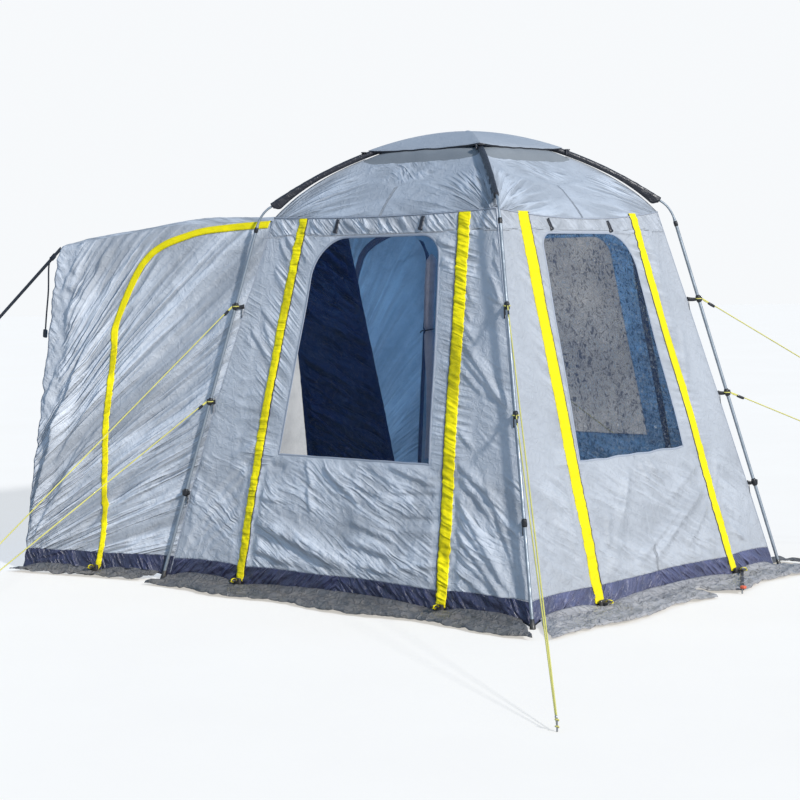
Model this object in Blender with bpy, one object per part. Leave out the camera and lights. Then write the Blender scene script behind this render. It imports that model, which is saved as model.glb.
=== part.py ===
"""Campervan awning: a four-legged dome tent with a tunnel that meets the back of a van.

Metres, +Z up. The origin is on the ground under the middle of the whole outline, on
the centre line. The tent's door face looks along -Y and the tunnel runs towards -X.
"""
import math

import bmesh
import bpy
from mathutils import Vector

# Driving sizes of the tent frame: feet, bend of the legs, and the crossing roof poles.
TENT_X = 0.17
FOOT_X = 1.284
FOOT_Y = 1.134
TOP_X = 0.827
TOP_Y = 0.765
LEG_TOP_Z = 2.0
POLE_RISE = 0.415
POLE_POWER = 1.9
LEG_RADIUS = 0.011
FOOT_RADIUS = 0.016
FOOT_HEIGHT = 0.025
FOOT_TAPER_HEIGHT = 0.0275
SLEEVE_RADIUS = 0.016
SLEEVE_END = 0.944
RIDGE_CLEAR = 0.0016
BEND_START = 0.965
BEND_END = 0.957
BEND_STEPS = 5
SLEEVE_SIDES = 8
LEG_SIDES = 10

# The fabric box that hangs inside the frame.
EAVE_SHARE = 0.932
EAVE_X = TOP_X * EAVE_SHARE
EAVE_Y = TOP_Y * EAVE_SHARE
EAVE_Z = 1.98
BASE_X = 1.262
BASE_Y = 1.108
FABRIC = 0.005
GAP = 0.0003
BAND_TOP = 0.12
EDGE_DROP_POWER = 8
INNER_LEAN_POWER = 4
POLE_STEPS = 12
CAP_STATION = 6
VENT_STATION = 7

# Windows, zips and clips.
WINDOW_TOP = 1.845
WINDOW_BOTTOM = 0.715
WINDOW_TOP_SHARE = 0.53
WINDOW_BOTTOM_SHARE = 0.485
WINDOW_ROUND = 0.12
ARC_STEPS = 6
PANE = 0.003
ZIP_TOP_SHARE = 0.706
ZIP_BOTTOM_SHARE = 0.556
ZIP_WIDTH = 0.065
ZIP_THICK = 0.003
CLIP_SHARES = (0.24, 0.49, 0.75)
CLIP_WIDE = 0.004
CLIP_TALL = 0.024
CLIP_CLEAR = 0.0006
TUNNEL_CLIP_CLEAR = 0.0050
CLIP_BACK = 0.006

# Ground skirt.
SKIRT = 0.005
SKIRT_WIDTH = 0.27
SKIRT_END_X = 1.20
SKIRT_END_Y = 1.05
SKIRT_COLUMNS = 9
SKIRT_WAVE = 0.10
SKIRT_WAVE_TURNS = 9.0

# Tunnel: half widths, heights and reach at its van end, seen from the tent's centre.
VAN_TOP_X = 2.30
VAN_BASE_X = 2.20
VAN_TOP_Y = 1.0
VAN_BASE_Y = 1.38
TUNNEL_TOP_Z = 1.962
VAN_TOP_Z = 1.862
TUNNEL_FLAT = 0.44
TUNNEL_CROWN = 0.012
VAN_CROWN = 0.05
TUNNEL_COLUMNS = 6
TUNNEL_ROWS = 4
TUNNEL_SKIRT = 0.16
TUNNEL_SKIRT_TAPER = 0.35
TUNNEL_SKIRT_START = 0.06
TUNNEL_SKIRT_COLUMNS = 6
TUNNEL_SKIRT_LEAN = 0.12

# The arched zip: share along the tunnel and height of the marks that it passes through.
ARCH_MARKS = (
    (0.02, 1.93),
    (0.19, 1.925),
    (0.36, 1.90),
    (0.53, 1.77),
    (0.62, 1.43),
    (0.63, 1.0),
    (0.55, 0.5),
    (0.49, SKIRT + 3.0 * GAP),
)
ARCH_STEPS = 3
ARCH_WIDTH = 0.049

# Draught flaps fold inwards along the van; straps pull the tunnel's upper corners to it.
FLAP_REACH = 0.10
FLAP_FOOT_SHARE = 0.45
FLAP_TOP_CLEAR = 0.10
FLAP_ROWS = 4
STRAP_TALL = 0.025
STRAP_THICK = 0.003
STRAP_DROP = 0.02
STRAP_CLEAR = 0.003
HOOK_Z = 1.405
HOOK_LENGTH = 0.03
HOOK_TALL = 0.03
HOOK_WIRE = 0.006

# Doorway between tent and tunnel, and the door sheet hanging in it.
DOOR_TOP = 1.90
DOOR_TOP_HALF = 0.60
DOOR_BASE_HALF = 0.98
DOOR_ROUND = 0.20
DOOR_SHEET = ((0.66, 1.93), (0.16, 1.93), (-0.72, 0.33), (0.07, 0.33))

# Guy ropes run from the two upper clips of each leg to a peg.
ROPE_RADIUS = 0.0025
ROPE_CLEAR = 0.0011
ROPE_SIDES = 6
PEG_RADIUS = 0.008
PEG_HEIGHT = 0.06
PEG_SIDES = 8
KNOT_SHARES = (0.32, 0.75)
RIGHT_PEG = (2.56, 2.67)
LEFT_PEG = (-0.60, 3.30)

CORNERS = {
    "front_right": (1, -1),
    "front_left": (-1, -1),
    "back_right": (1, 1),
    "back_left": (-1, 1),
}


def lerp(start, end, share):
    """The value or point at a share of the way from start to end."""
    return start + (end - start) * share


def make_material(name, colour, roughness, metallic=0.0):
    """A Principled material with one colour, roughness and metallic value."""
    material = bpy.data.materials.new(name)
    material.use_nodes = True
    shader = material.node_tree.nodes["Principled BSDF"]
    shader.inputs["Base Color"].default_value = (*colour, 1.0)
    shader.inputs["Roughness"].default_value = roughness
    shader.inputs["Metallic"].default_value = metallic
    return material


def make_object(name, bm, material):
    """Turn a bmesh into a named object with its faces pointing out."""
    bmesh.ops.recalc_face_normals(bm, faces=bm.faces)
    mesh = bpy.data.meshes.new(name)
    bm.to_mesh(mesh)
    bm.free()
    mesh.materials.append(material)
    item = bpy.data.objects.new(name, mesh)
    bpy.context.scene.collection.objects.link(item)
    return item


def make_helper(name, bm):
    """An object that only cuts or joins another one."""
    bmesh.ops.recalc_face_normals(bm, faces=bm.faces)
    mesh = bpy.data.meshes.new(name)
    bm.to_mesh(mesh)
    bm.free()
    item = bpy.data.objects.new(name, mesh)
    item.hide_render = True
    item.display_type = "WIRE"
    bpy.context.scene.collection.objects.link(item)
    return item


def add_boolean(item, helper, operation):
    """Cut the helper from the item, or join it on."""
    modifier = item.modifiers.new(operation.title(), "BOOLEAN")
    modifier.operation = operation
    modifier.solver = "EXACT"
    modifier.object = helper


def add_sheet(bm, outer, inner):
    """Close the sheet between an outer grid of points and the matching inner grid."""
    order = bm.verts.layers.int.get("order") or bm.verts.layers.int.new("order")
    targets = [point for row in inner for point in row]
    rows = []
    for row in outer:
        rows.append([bm.verts.new(point) for point in row])
    for index, vert in enumerate(v for row in rows for v in row):
        vert[order] = index
    faces = []
    for low, high in zip(rows, rows[1:]):
        for a, b, c, d in zip(low, low[1:], high[1:], high):
            faces.append(bm.faces.new((a, b, c, d)))
    made = bmesh.ops.extrude_face_region(bm, geom=faces)
    for item in made["geom"]:
        if isinstance(item, bmesh.types.BMVert):
            item.co = targets[item[order]]


def make_sheet(name, outer, inner, material):
    """A closed sheet between two grids, as an object."""
    bm = bmesh.new()
    add_sheet(bm, outer, inner)
    return make_object(name, bm, material)


def add_prism(bm, front, back):
    """Join two matching outlines into a closed prism."""
    first = [bm.verts.new(point) for point in front]
    second = [bm.verts.new(point) for point in back]
    bm.faces.new(first)
    bm.faces.new(list(reversed(second)))
    count = len(first)
    for i in range(count):
        j = (i + 1) % count
        bm.faces.new((first[j], first[i], second[i], second[j]))


def add_tube(bm, path, radii, sides):
    """Carry a round section along a path, with one radius for each point."""
    points = [Vector(point) for point in path]
    side = None
    rings = []
    for i, point in enumerate(points):
        ahead = points[min(i + 1, len(points) - 1)] - points[max(i - 1, 0)]
        ahead.normalize()
        if side is None:
            side = ahead.orthogonal().normalized()
        side = (side - ahead * side.dot(ahead)).normalized()
        up = ahead.cross(side)
        ring = []
        for k in range(sides):
            angle = 2.0 * math.pi * k / sides
            offset = side * math.cos(angle) + up * math.sin(angle)
            ring.append(bm.verts.new(point + offset * radii[i]))
        rings.append(ring)
    for low, high in zip(rings, rings[1:]):
        for k in range(sides):
            j = (k + 1) % sides
            bm.faces.new((low[k], low[j], high[j], high[k]))
    bm.faces.new(list(reversed(rings[0])))
    bm.faces.new(rings[-1])


def half_x(z):
    """Half the tent's length at a height."""
    return lerp(BASE_X, EAVE_X, z / EAVE_Z)


def half_y(z):
    """Half the tent's width at a height."""
    return lerp(BASE_Y, EAVE_Y, z / EAVE_Z)


def face_half(face, z):
    """Half a wall's width at a height."""
    return half_x(z) if face in ("front", "back") else half_y(z)


def on_face(face, across, z, depth=0.0):
    """A point on a wall: metres across from its middle, height, and depth inwards."""
    if face == "front":
        return Vector((TENT_X + across, depth - half_y(z), z))
    if face == "back":
        return Vector((TENT_X - across, half_y(z) - depth, z))
    if face == "right":
        return Vector((TENT_X + half_x(z) - depth, across, z))
    return Vector((TENT_X - half_x(z) + depth, -across, z))


def wall_rows(face, heights, depth):
    """Rows of a wall that stop just short of the mitre at each corner."""
    rows = []
    for z in heights:
        reach = face_half(face, z) - depth - GAP
        rows.append([on_face(face, reach * side, z, depth) for side in (-1, 0, 1)])
    return rows


def window_outline(face, shrink):
    """Across and height of the window's edge, with round upper corners."""
    top = WINDOW_TOP - shrink
    bottom = WINDOW_BOTTOM + shrink
    top_half = WINDOW_TOP_SHARE * face_half(face, WINDOW_TOP) - shrink
    bottom_half = WINDOW_BOTTOM_SHARE * face_half(face, WINDOW_BOTTOM) - shrink
    return door_outline(bottom_half, top_half, bottom, top, WINDOW_ROUND)


def door_outline(bottom_half, top_half, bottom, top, radius):
    """A sloping-sided opening with its two upper corners rounded by quarter turns."""
    outline = [(-bottom_half, bottom), (bottom_half, bottom)]
    for side in (1, -1):
        for step in range(ARC_STEPS + 1):
            angle = 0.5 * math.pi * step / ARC_STEPS
            if side < 0:
                angle = 0.5 * math.pi - angle
            across = side * (top_half - radius + radius * math.cos(angle))
            outline.append((across, top - radius + radius * math.sin(angle)))
    return outline


def make_window_wall(face, fabric, clear):
    """A wall with its window cut through it, and the clear pane that fills it."""
    heights = (BAND_TOP, EAVE_Z)
    wall = make_sheet(
        f"{face}_wall", wall_rows(face, heights, 0.0), wall_rows(face, heights, FABRIC), fabric
    )
    bm = bmesh.new()
    outline = window_outline(face, 0.0)
    add_prism(
        bm,
        [on_face(face, across, z, -FABRIC) for across, z in outline],
        [on_face(face, across, z, 2.0 * FABRIC) for across, z in outline],
    )
    add_boolean(wall, make_helper(f"{face}_window_cutter", bm), "DIFFERENCE")
    bm = bmesh.new()
    outline = window_outline(face, GAP)
    inset = (FABRIC - PANE) / 2.0
    add_prism(
        bm,
        [on_face(face, across, z, inset) for across, z in outline],
        [on_face(face, across, z, inset + PANE) for across, z in outline],
    )
    make_object(f"{face}_window", bm, clear)


def make_doorway_wall(fabric):
    """The wall towards the tunnel: two posts of cloth and a header over a tall doorway."""
    heights = (GAP, EAVE_Z)
    wall = make_sheet(
        "doorway_wall", wall_rows("left", heights, 0.0), wall_rows("left", heights, FABRIC), fabric
    )
    bm = bmesh.new()
    outline = door_outline(DOOR_BASE_HALF, DOOR_TOP_HALF, -FABRIC, DOOR_TOP, DOOR_ROUND)
    add_prism(
        bm,
        [on_face("left", across, z, -FABRIC) for across, z in outline],
        [on_face("left", across, z, 2.0 * FABRIC) for across, z in outline],
    )
    add_boolean(wall, make_helper("doorway_cutter", bm), "DIFFERENCE")


def make_door_sheet(navy):
    """The doorway's dark door sheet, hung from the header and drawn to one side."""
    bm = bmesh.new()
    near = FABRIC + GAP
    add_prism(
        bm,
        [on_face("left", across, z, near) for across, z in DOOR_SHEET],
        [on_face("left", across, z, near + PANE) for across, z in DOOR_SHEET],
    )
    make_object("doorway_door_sheet", bm, navy)


def make_band(face, navy):
    """The dark strip at the foot of a wall."""
    heights = (SKIRT + GAP, BAND_TOP - GAP)
    make_sheet(
        f"{face}_ground_band", wall_rows(face, heights, 0.0), wall_rows(face, heights, FABRIC), navy
    )


def make_zip_cover(face, side, yellow):
    """A bright cover strip over a door zip, from the eave down to the ground."""
    name = f"{face}_zip_cover_{'right' if side > 0 else 'left'}"
    outer = []
    inner = []
    for z in (SKIRT + 2.0 * GAP, EAVE_Z - GAP):
        share = lerp(ZIP_BOTTOM_SHARE, ZIP_TOP_SHARE, z / EAVE_Z)
        middle = side * share * face_half(face, z)
        edges = (middle - ZIP_WIDTH / 2.0, middle + ZIP_WIDTH / 2.0)
        outer.append([on_face(face, across, z, -ZIP_THICK - GAP) for across in edges])
        inner.append([on_face(face, across, z, -GAP) for across in edges])
    make_sheet(name, outer, inner, yellow)


def make_skirt(face, grey):
    """A mud flap lying outwards on the ground, its ends cut back where the legs stand."""
    base = BASE_Y if face in ("front", "back") else BASE_X
    end = SKIRT_END_X if face in ("front", "back") else SKIRT_END_Y
    top = []
    bottom = []
    for i in range(SKIRT_COLUMNS):
        side = 2.0 * i / (SKIRT_COLUMNS - 1) - 1.0
        width = SKIRT_WIDTH * (1.0 + SKIRT_WAVE * math.sin(SKIRT_WAVE_TURNS * side))
        line = []
        for share in (0.0, 1.0):
            out = share * width + (share - 1.0) * FABRIC
            fan = 0.0 if meets_tunnel(face, side) else max(out, 0.0)
            across = side * (end + fan)
            line.append((across, out))
        top.append([skirt_point(face, across, base + out, SKIRT) for across, out in line])
        bottom.append([skirt_point(face, across, base + out, 0.0) for across, out in line])
    make_sheet(f"{face}_ground_skirt", top, bottom, grey)


def meets_tunnel(face, side):
    """Whether this end of a skirt lies next to the tunnel."""
    return side < 0.0 if face == "front" else face == "back" and side > 0.0


def skirt_point(face, across, out, z):
    """A point beside a wall: metres across it, and out from the tent's middle."""
    if face == "front":
        return Vector((TENT_X + across, -out, z))
    if face == "back":
        return Vector((TENT_X - across, out, z))
    return Vector((TENT_X + out, across, z))


def pole_z(reach):
    """Height of a roof pole at a share of the way from the crossing to the leg bend."""
    return LEG_TOP_Z + POLE_RISE * (1.0 - reach**POLE_POWER)


def pole_slope(reach):
    """How steeply a roof pole falls at a share of its reach."""
    run = math.hypot(TOP_X, TOP_Y)
    return POLE_RISE * POLE_POWER * reach ** (POLE_POWER - 1.0) / run


def pole_point(side_x, side_y, reach):
    """A point on a roof pole's axis."""
    x = TENT_X + side_x * TOP_X * reach
    return Vector((x, side_y * TOP_Y * reach, pole_z(reach)))


def under_pole(share):
    """Height of the cloth where it just clears the underside of a sleeve."""
    reach = share * EAVE_SHARE
    clear = (SLEEVE_RADIUS + 2.0 * GAP) * math.hypot(1.0, pole_slope(reach))
    return pole_z(reach) - clear


def roof_z(share):
    """The roof follows the poles from the crossing out, and drops to the eave at the end."""
    drop = under_pole(1.0) - EAVE_Z - GAP
    return under_pole(share) - drop * share**EDGE_DROP_POWER


def roof_point(face, share, side, inner):
    """A roof point: share of the way out, side from -1 to 1, outer or inner surface."""
    z = roof_z(share)
    scale = share
    if inner:
        lean = share**INNER_LEAN_POWER
        scale = share * (1.0 - FABRIC / EAVE_X * lean)
        z = z - FABRIC * (1.0 - lean)
    reach_x = EAVE_X * scale
    reach_y = EAVE_Y * scale
    if face == "front":
        return Vector((TENT_X + side * (reach_x - GAP), -reach_y, z))
    if face == "back":
        return Vector((TENT_X - side * (reach_x - GAP), reach_y, z))
    if face == "right":
        return Vector((TENT_X + reach_x, side * (reach_y - GAP), z))
    return Vector((TENT_X - reach_x, -side * (reach_y - GAP), z))


def station(number):
    """Share of the roof at one of the poles' own steps, so that cloth and pole agree."""
    return SLEEVE_END * number / POLE_STEPS / EAVE_SHARE


def make_roof_panel(face, fabric):
    """One of the four roof panels between the eave and the vent."""
    shares = [1.0] + [station(number) for number in range(POLE_STEPS - 1, VENT_STATION - 1, -1)]
    grids = []
    for inner in (False, True):
        rows = []
        for share in shares:
            rows.append([roof_point(face, share, side, inner) for side in (-1, 1)])
        grids.append(rows)
    make_sheet(f"{face}_roof_panel", grids[0], grids[1], fabric)


def add_dome_side(bm, edge, height, steps):
    """Square rings from the edge to one point over the crossing; returns the edge ring."""
    turns = ((1, 1), (-1, 1), (-1, -1), (1, -1))
    rings = []
    for i in range(steps):
        share = edge * (1.0 - i / steps)
        z = height(share)
        ring = [(TENT_X + x * EAVE_X * share, y * EAVE_Y * share, z) for x, y in turns]
        rings.append([bm.verts.new(point) for point in ring])
    top = bm.verts.new((TENT_X, 0.0, height(0.0)))
    for low, high in zip(rings, rings[1:]):
        for k in range(4):
            j = (k + 1) % 4
            bm.faces.new((low[k], low[j], high[j], high[k]))
    for k in range(4):
        bm.faces.new((rings[-1][k], rings[-1][(k + 1) % 4], top))
    return rings[0]


def make_dome(name, edge, steps, lower, upper, material):
    """A square dome between two heights, closed round its edge."""
    bm = bmesh.new()
    low = add_dome_side(bm, edge, lower, steps)
    high = add_dome_side(bm, edge, upper, steps)
    for k in range(4):
        j = (k + 1) % 4
        bm.faces.new((low[k], low[j], high[j], high[k]))
    make_object(name, bm, material)


def vent_underside(share):
    """The mesh is one cloth thickness deep."""
    return roof_z(share) - FABRIC


def cap_top(share):
    """The cap lies on the sleeves, one cloth thickness deep."""
    return over_pole(share) + FABRIC


def make_vent(mesh):
    """The black mesh that closes the roof's middle under the cap."""
    edge = station(VENT_STATION) - 2.0 * GAP / EAVE_Y
    make_dome("vent_mesh", edge, VENT_STATION, vent_underside, roof_z, mesh)


def over_pole(share):
    """Height of the cloth where its ridge just clears the top of a round sleeve."""
    reach = share * EAVE_SHARE
    clear = (SLEEVE_RADIUS + RIDGE_CLEAR) * math.hypot(1.0, pole_slope(reach))
    return pole_z(reach) + clear


def make_cap(fabric):
    """The loose cap over the crossing poles."""
    make_dome("roof_cap", station(CAP_STATION), CAP_STATION, over_pole, cap_top, fabric)


def make_roof_poles(black):
    """Two sleeved poles that cross over the tent's middle, joined where they cross."""
    reaches = [SLEEVE_END * i / POLE_STEPS for i in range(-POLE_STEPS, POLE_STEPS + 1)]
    bm = bmesh.new()
    path = [pole_point(math.copysign(1, r), math.copysign(1, r), abs(r)) for r in reaches]
    add_tube(bm, path, [SLEEVE_RADIUS] * len(path), SLEEVE_SIDES)
    poles = make_object("roof_poles", bm, black)
    bm = bmesh.new()
    path = [pole_point(math.copysign(1, r), -math.copysign(1, r), abs(r)) for r in reaches]
    add_tube(bm, path, [SLEEVE_RADIUS] * len(path), SLEEVE_SIDES)
    add_boolean(poles, make_helper("second_roof_pole", bm), "UNION")


def leg_point(side_x, side_y, share):
    """A point on a leg's axis, from its foot up to the bend."""
    x = TENT_X + side_x * lerp(FOOT_X, TOP_X, share)
    return Vector((x, side_y * lerp(FOOT_Y, TOP_Y, share), LEG_TOP_Z * share))


def clip_back(side_x, side_y, share):
    """The level direction from the tent's corner seam out to a leg."""
    leg = leg_point(side_x, side_y, share)
    corner = Vector((TENT_X + side_x * half_x(leg.z), side_y * half_y(leg.z), leg.z))
    return (leg - corner).normalized()


def add_clip(bm, side_x, side_y, share):
    """A flat hook strap from a leg to the tent's leaning corner seam at the same height."""
    clear = CLIP_CLEAR if side_x > 0 else TUNNEL_CLIP_CLEAR
    front = []
    back = []
    for rise, turn in ((-0.5, 1), (-0.5, -1), (0.5, -1), (0.5, 1)):
        leg = leg_point(side_x, side_y, share + rise * CLIP_TALL / LEG_TOP_Z)
        corner = Vector((TENT_X + side_x * half_x(leg.z), side_y * half_y(leg.z), leg.z))
        towards = (corner - leg).normalized()
        sideways = towards.cross(Vector((0.0, 0.0, 1.0))) * (turn * CLIP_WIDE / 2.0)
        front.append(leg - towards * (LEG_RADIUS + CLIP_BACK) + sideways)
        back.append(corner - towards * clear + sideways)
    add_prism(bm, front, back)


def make_leg(name, side_x, side_y, steel):
    """A steel leg with a foot, an upper bend into the sleeve, and three fabric clips."""
    foot = leg_point(side_x, side_y, 0.0)
    path = [foot, leg_point(side_x, side_y, FOOT_HEIGHT / LEG_TOP_Z)]
    radii = [FOOT_RADIUS, FOOT_RADIUS]
    path.append(leg_point(side_x, side_y, FOOT_TAPER_HEIGHT / LEG_TOP_Z))
    radii.append(LEG_RADIUS)
    below = leg_point(side_x, side_y, BEND_START)
    bend = leg_point(side_x, side_y, 1.0)
    above = pole_point(side_x, side_y, BEND_END)
    for step in range(BEND_STEPS + 1):
        share = step / BEND_STEPS
        path.append(below.lerp(bend, share).lerp(bend.lerp(above, share), share))
        radii.append(LEG_RADIUS)
    path.append(pole_point(side_x, side_y, SLEEVE_END + 2.0 * GAP))
    radii.append(LEG_RADIUS)
    bm = bmesh.new()
    add_tube(bm, path, radii, LEG_SIDES)
    level_foot(bm)
    leg = make_object(f"leg_{name}", bm, steel)
    bm = bmesh.new()
    for share in CLIP_SHARES:
        add_clip(bm, side_x, side_y, share)
    add_boolean(leg, make_helper(f"leg_{name}_clips", bm), "UNION")


def level_foot(bm):
    """Put the foot's lowest ring flat on the ground."""
    heights = sorted(vert.co.z for vert in bm.verts)
    for vert in bm.verts:
        if vert.co.z <= heights[LEG_SIDES - 1]:
            vert.co.z = 0.0


def make_guy(name, side_x, side_y, yellow):
    """Two ropes from the upper clips of a leg to one peg."""
    peg_x, peg_y = RIGHT_PEG if side_x > 0 else LEFT_PEG
    foot = Vector((TENT_X + peg_x, side_y * peg_y, 0.0))
    bm = bmesh.new()
    top = foot + Vector((0.0, 0.0, PEG_HEIGHT))
    add_tube(bm, [foot, top], [PEG_RADIUS, PEG_RADIUS], PEG_SIDES)
    peg = make_object(f"guy_ropes_{name}", bm, yellow)
    bm = bmesh.new()
    for share, height in zip(CLIP_SHARES[1:], KNOT_SHARES):
        axis = leg_point(side_x, side_y, share)
        knot = foot.lerp(top, height)
        back = clip_back(side_x, side_y, share)
        spread = (knot - axis).normalized().cross(back).length * ROPE_RADIUS
        start = axis + back * (LEG_RADIUS + CLIP_BACK + spread + ROPE_CLEAR)
        add_tube(bm, [start, knot], [ROPE_RADIUS, ROPE_RADIUS], ROPE_SIDES)
    add_boolean(peg, make_helper(f"guy_ropes_{name}_ropes", bm), "UNION")


def tunnel_top(along):
    """Height of the tunnel's upper edge from the tent (0) to the van end (1)."""
    fall = max(0.0, (along - TUNNEL_FLAT) / (1.0 - TUNNEL_FLAT))
    return lerp(TUNNEL_TOP_Z, VAN_TOP_Z, fall)


def tunnel_point(side, along, z, depth=0.0):
    """A point on a tunnel side: side -1 is the front one, depth runs inwards."""
    share = z / tunnel_top(along)
    tent_y = lerp(BASE_Y, half_y(TUNNEL_TOP_Z), share)
    tent_x = lerp(BASE_X, half_x(TUNNEL_TOP_Z), share) + GAP
    y = lerp(tent_y, lerp(VAN_BASE_Y, VAN_TOP_Y, share), along)
    x = lerp(tent_x, lerp(VAN_BASE_X, VAN_TOP_X, share), along)
    return Vector((TENT_X - x, side * (y - depth), z))


def tunnel_grid(side, shares, low, high, depth):
    """Rows up a tunnel side between two heights, columns along it."""
    rows = []
    for i in range(TUNNEL_ROWS + 1):
        row = []
        for along in shares:
            z = lerp(low, high(along), i / TUNNEL_ROWS)
            row.append(tunnel_point(side, along, z, depth))
        rows.append(row)
    return rows


def tunnel_side_top(along):
    """A tunnel side ends just under the tunnel roof."""
    return tunnel_top(along) - FABRIC - GAP


def tunnel_band_top(along):
    """The foot band has one height all along."""
    return BAND_TOP - GAP


def make_tunnel_side(name, side, fabric, navy, yellow, grey):
    """A tunnel side with its dark foot band, arched zip cover, flap and ground skirt."""
    shares = [i / TUNNEL_COLUMNS for i in range(TUNNEL_COLUMNS + 1)]
    make_sheet(
        f"{name}_tunnel_side",
        tunnel_grid(side, shares, BAND_TOP, tunnel_side_top, 0.0),
        tunnel_grid(side, shares, BAND_TOP, tunnel_side_top, FABRIC),
        fabric,
    )
    make_sheet(
        f"{name}_tunnel_ground_band",
        tunnel_grid(side, shares, SKIRT + GAP, tunnel_band_top, 0.0),
        tunnel_grid(side, shares, SKIRT + GAP, tunnel_band_top, FABRIC),
        navy,
    )
    make_tunnel_skirt(name, side, grey)
    make_tunnel_zip(name, side, yellow)
    make_flap(name, side, navy)


def make_tunnel_skirt(name, side, grey):
    """The tunnel's mud flap, which starts clear of the leg's foot."""
    top = []
    bottom = []
    for i in range(TUNNEL_SKIRT_COLUMNS):
        along = lerp(TUNNEL_SKIRT_START, 1.0, i / (TUNNEL_SKIRT_COLUMNS - 1))
        edge = tunnel_point(side, along, 0.0)
        width = TUNNEL_SKIRT * (1.0 - TUNNEL_SKIRT_TAPER * along)
        line = []
        for out in (-FABRIC, width):
            lean = TUNNEL_SKIRT_LEAN * max(out, 0.0)
            line.append(Vector((edge.x - lean, edge.y + side * out, 0.0)))
        top.append([point + Vector((0.0, 0.0, SKIRT)) for point in line])
        bottom.append(line)
    make_sheet(f"{name}_tunnel_ground_skirt", top, bottom, grey)


def zip_route():
    """Share along the tunnel and height of the arched zip, as a smooth curve."""
    marks = ARCH_MARKS
    last = len(marks) - 1
    route = []
    for i in range(last):
        ends = [marks[max(i - 1, 0)], marks[i], marks[i + 1], marks[min(i + 2, last)]]
        for step in range(ARCH_STEPS):
            route.append(smooth(ends, step / ARCH_STEPS))
    route.append(marks[-1])
    return route


def smooth(ends, share):
    """A point between the two middle marks on a curve that passes through all four."""
    a, b, c, d = (Vector(mark) for mark in ends)
    straight = b * 2.0 + (c - a) * share
    bent = (a * 2.0 - b * 5.0 + c * 4.0 - d) * share**2
    return (straight + bent + (b * 3.0 - a - c * 3.0 + d) * share**3) * 0.5


def make_tunnel_zip(name, side, yellow):
    """The arched zip cover of the tunnel's side door."""
    route = zip_route()
    outer = []
    inner = []
    for i, (along, z) in enumerate(route):
        before = Vector(route[max(i - 1, 0)])
        after = Vector(route[min(i + 1, len(route) - 1)])
        length = VAN_TOP_X - EAVE_X
        run = Vector(((after.x - before.x) * length, after.y - before.y)).normalized()
        lift = ARCH_WIDTH / 2.0
        over = (run.y * lift / length, -run.x * lift)
        if i == len(route) - 1:
            over = (-lift / length, 0.0)
        edges = [(along + over[0], z + over[1]), (along - over[0], z - over[1])]
        outer.append([tunnel_point(side, s, h, -ZIP_THICK - 2.0 * GAP) for s, h in edges])
        inner.append([tunnel_point(side, s, h, -2.0 * GAP) for s, h in edges])
    make_sheet(f"{name}_tunnel_zip_cover", outer, inner, yellow)


def make_flap(name, side, navy):
    """The dark draught flap that turns in from the tunnel's edge and lies along the van."""
    outer = []
    inner = []
    for step in range(FLAP_ROWS + 1):
        share = step / FLAP_ROWS
        edge = tunnel_point(side, 1.0, lerp(GAP, VAN_TOP_Z - FLAP_TOP_CLEAR, share))
        reach = lerp(FLAP_FOOT_SHARE, 1.0, share) * FLAP_REACH
        for rows, back in ((outer, FABRIC), (inner, 0.0)):
            near = edge + Vector((-2.0 * GAP - back, 0.0, 0.0))
            rows.append([near, near + Vector((0.0, -side * reach, 0.0))])
    make_sheet(f"{name}_tunnel_draught_flap", outer, inner, navy)


def make_tunnel_roof(fabric):
    """The tunnel's roof, level by the tent and falling towards the van, a little crowned."""
    grids = []
    for sink in (0.0, FABRIC):
        rows = []
        for i in range(TUNNEL_COLUMNS + 1):
            along = i / TUNNEL_COLUMNS
            crown = lerp(TUNNEL_CROWN, VAN_CROWN, along)
            row = []
            for j in range(TUNNEL_COLUMNS + 1):
                turn = 2.0 * j / TUNNEL_COLUMNS - 1.0
                edge = tunnel_point(1, along, tunnel_top(along))
                z = tunnel_top(along) + crown * (1.0 - turn * turn) - sink
                row.append(Vector((tunnel_point(1, along, z).x, turn * edge.y, z)))
            rows.append(row)
        grids.append(rows)
    make_sheet("tunnel_roof", grids[0], grids[1], fabric)


def make_van_strap(name, side, black):
    """The strap that pulls the tunnel's upper corner towards the van, with its hook."""
    top = VAN_TOP_Z - STRAP_DROP
    high = tunnel_point(side, 1.0, top)
    low = tunnel_point(side, 1.0, top - STRAP_TALL)
    start = [(high.x - 2.0 * GAP, high.z), (low.x - 2.0 * GAP, low.z)]
    tip = -TENT_X - RIGHT_PEG[0] - PEG_RADIUS
    end_x = tip + PEG_RADIUS + HOOK_LENGTH
    upper = HOOK_Z + HOOK_TALL
    hook = [(end_x, HOOK_Z + HOOK_WIRE), (tip + 2.0 * HOOK_WIRE, HOOK_Z - HOOK_WIRE), (tip, HOOK_Z)]
    hook += [(tip, upper), (tip + HOOK_WIRE, upper), (tip + HOOK_WIRE, HOOK_Z + HOOK_WIRE)]
    hook += [(end_x, HOOK_Z + 4.0 * HOOK_WIRE), (end_x, upper + 2.0 * HOOK_WIRE)]
    outline = start + hook
    y = side * (VAN_TOP_Y + STRAP_CLEAR)
    bm = bmesh.new()
    add_prism(
        bm,
        [Vector((x, y, z)) for x, z in outline],
        [Vector((x, y + side * STRAP_THICK, z)) for x, z in outline],
    )
    make_object(f"van_strap_{name}", bm, black)


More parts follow.
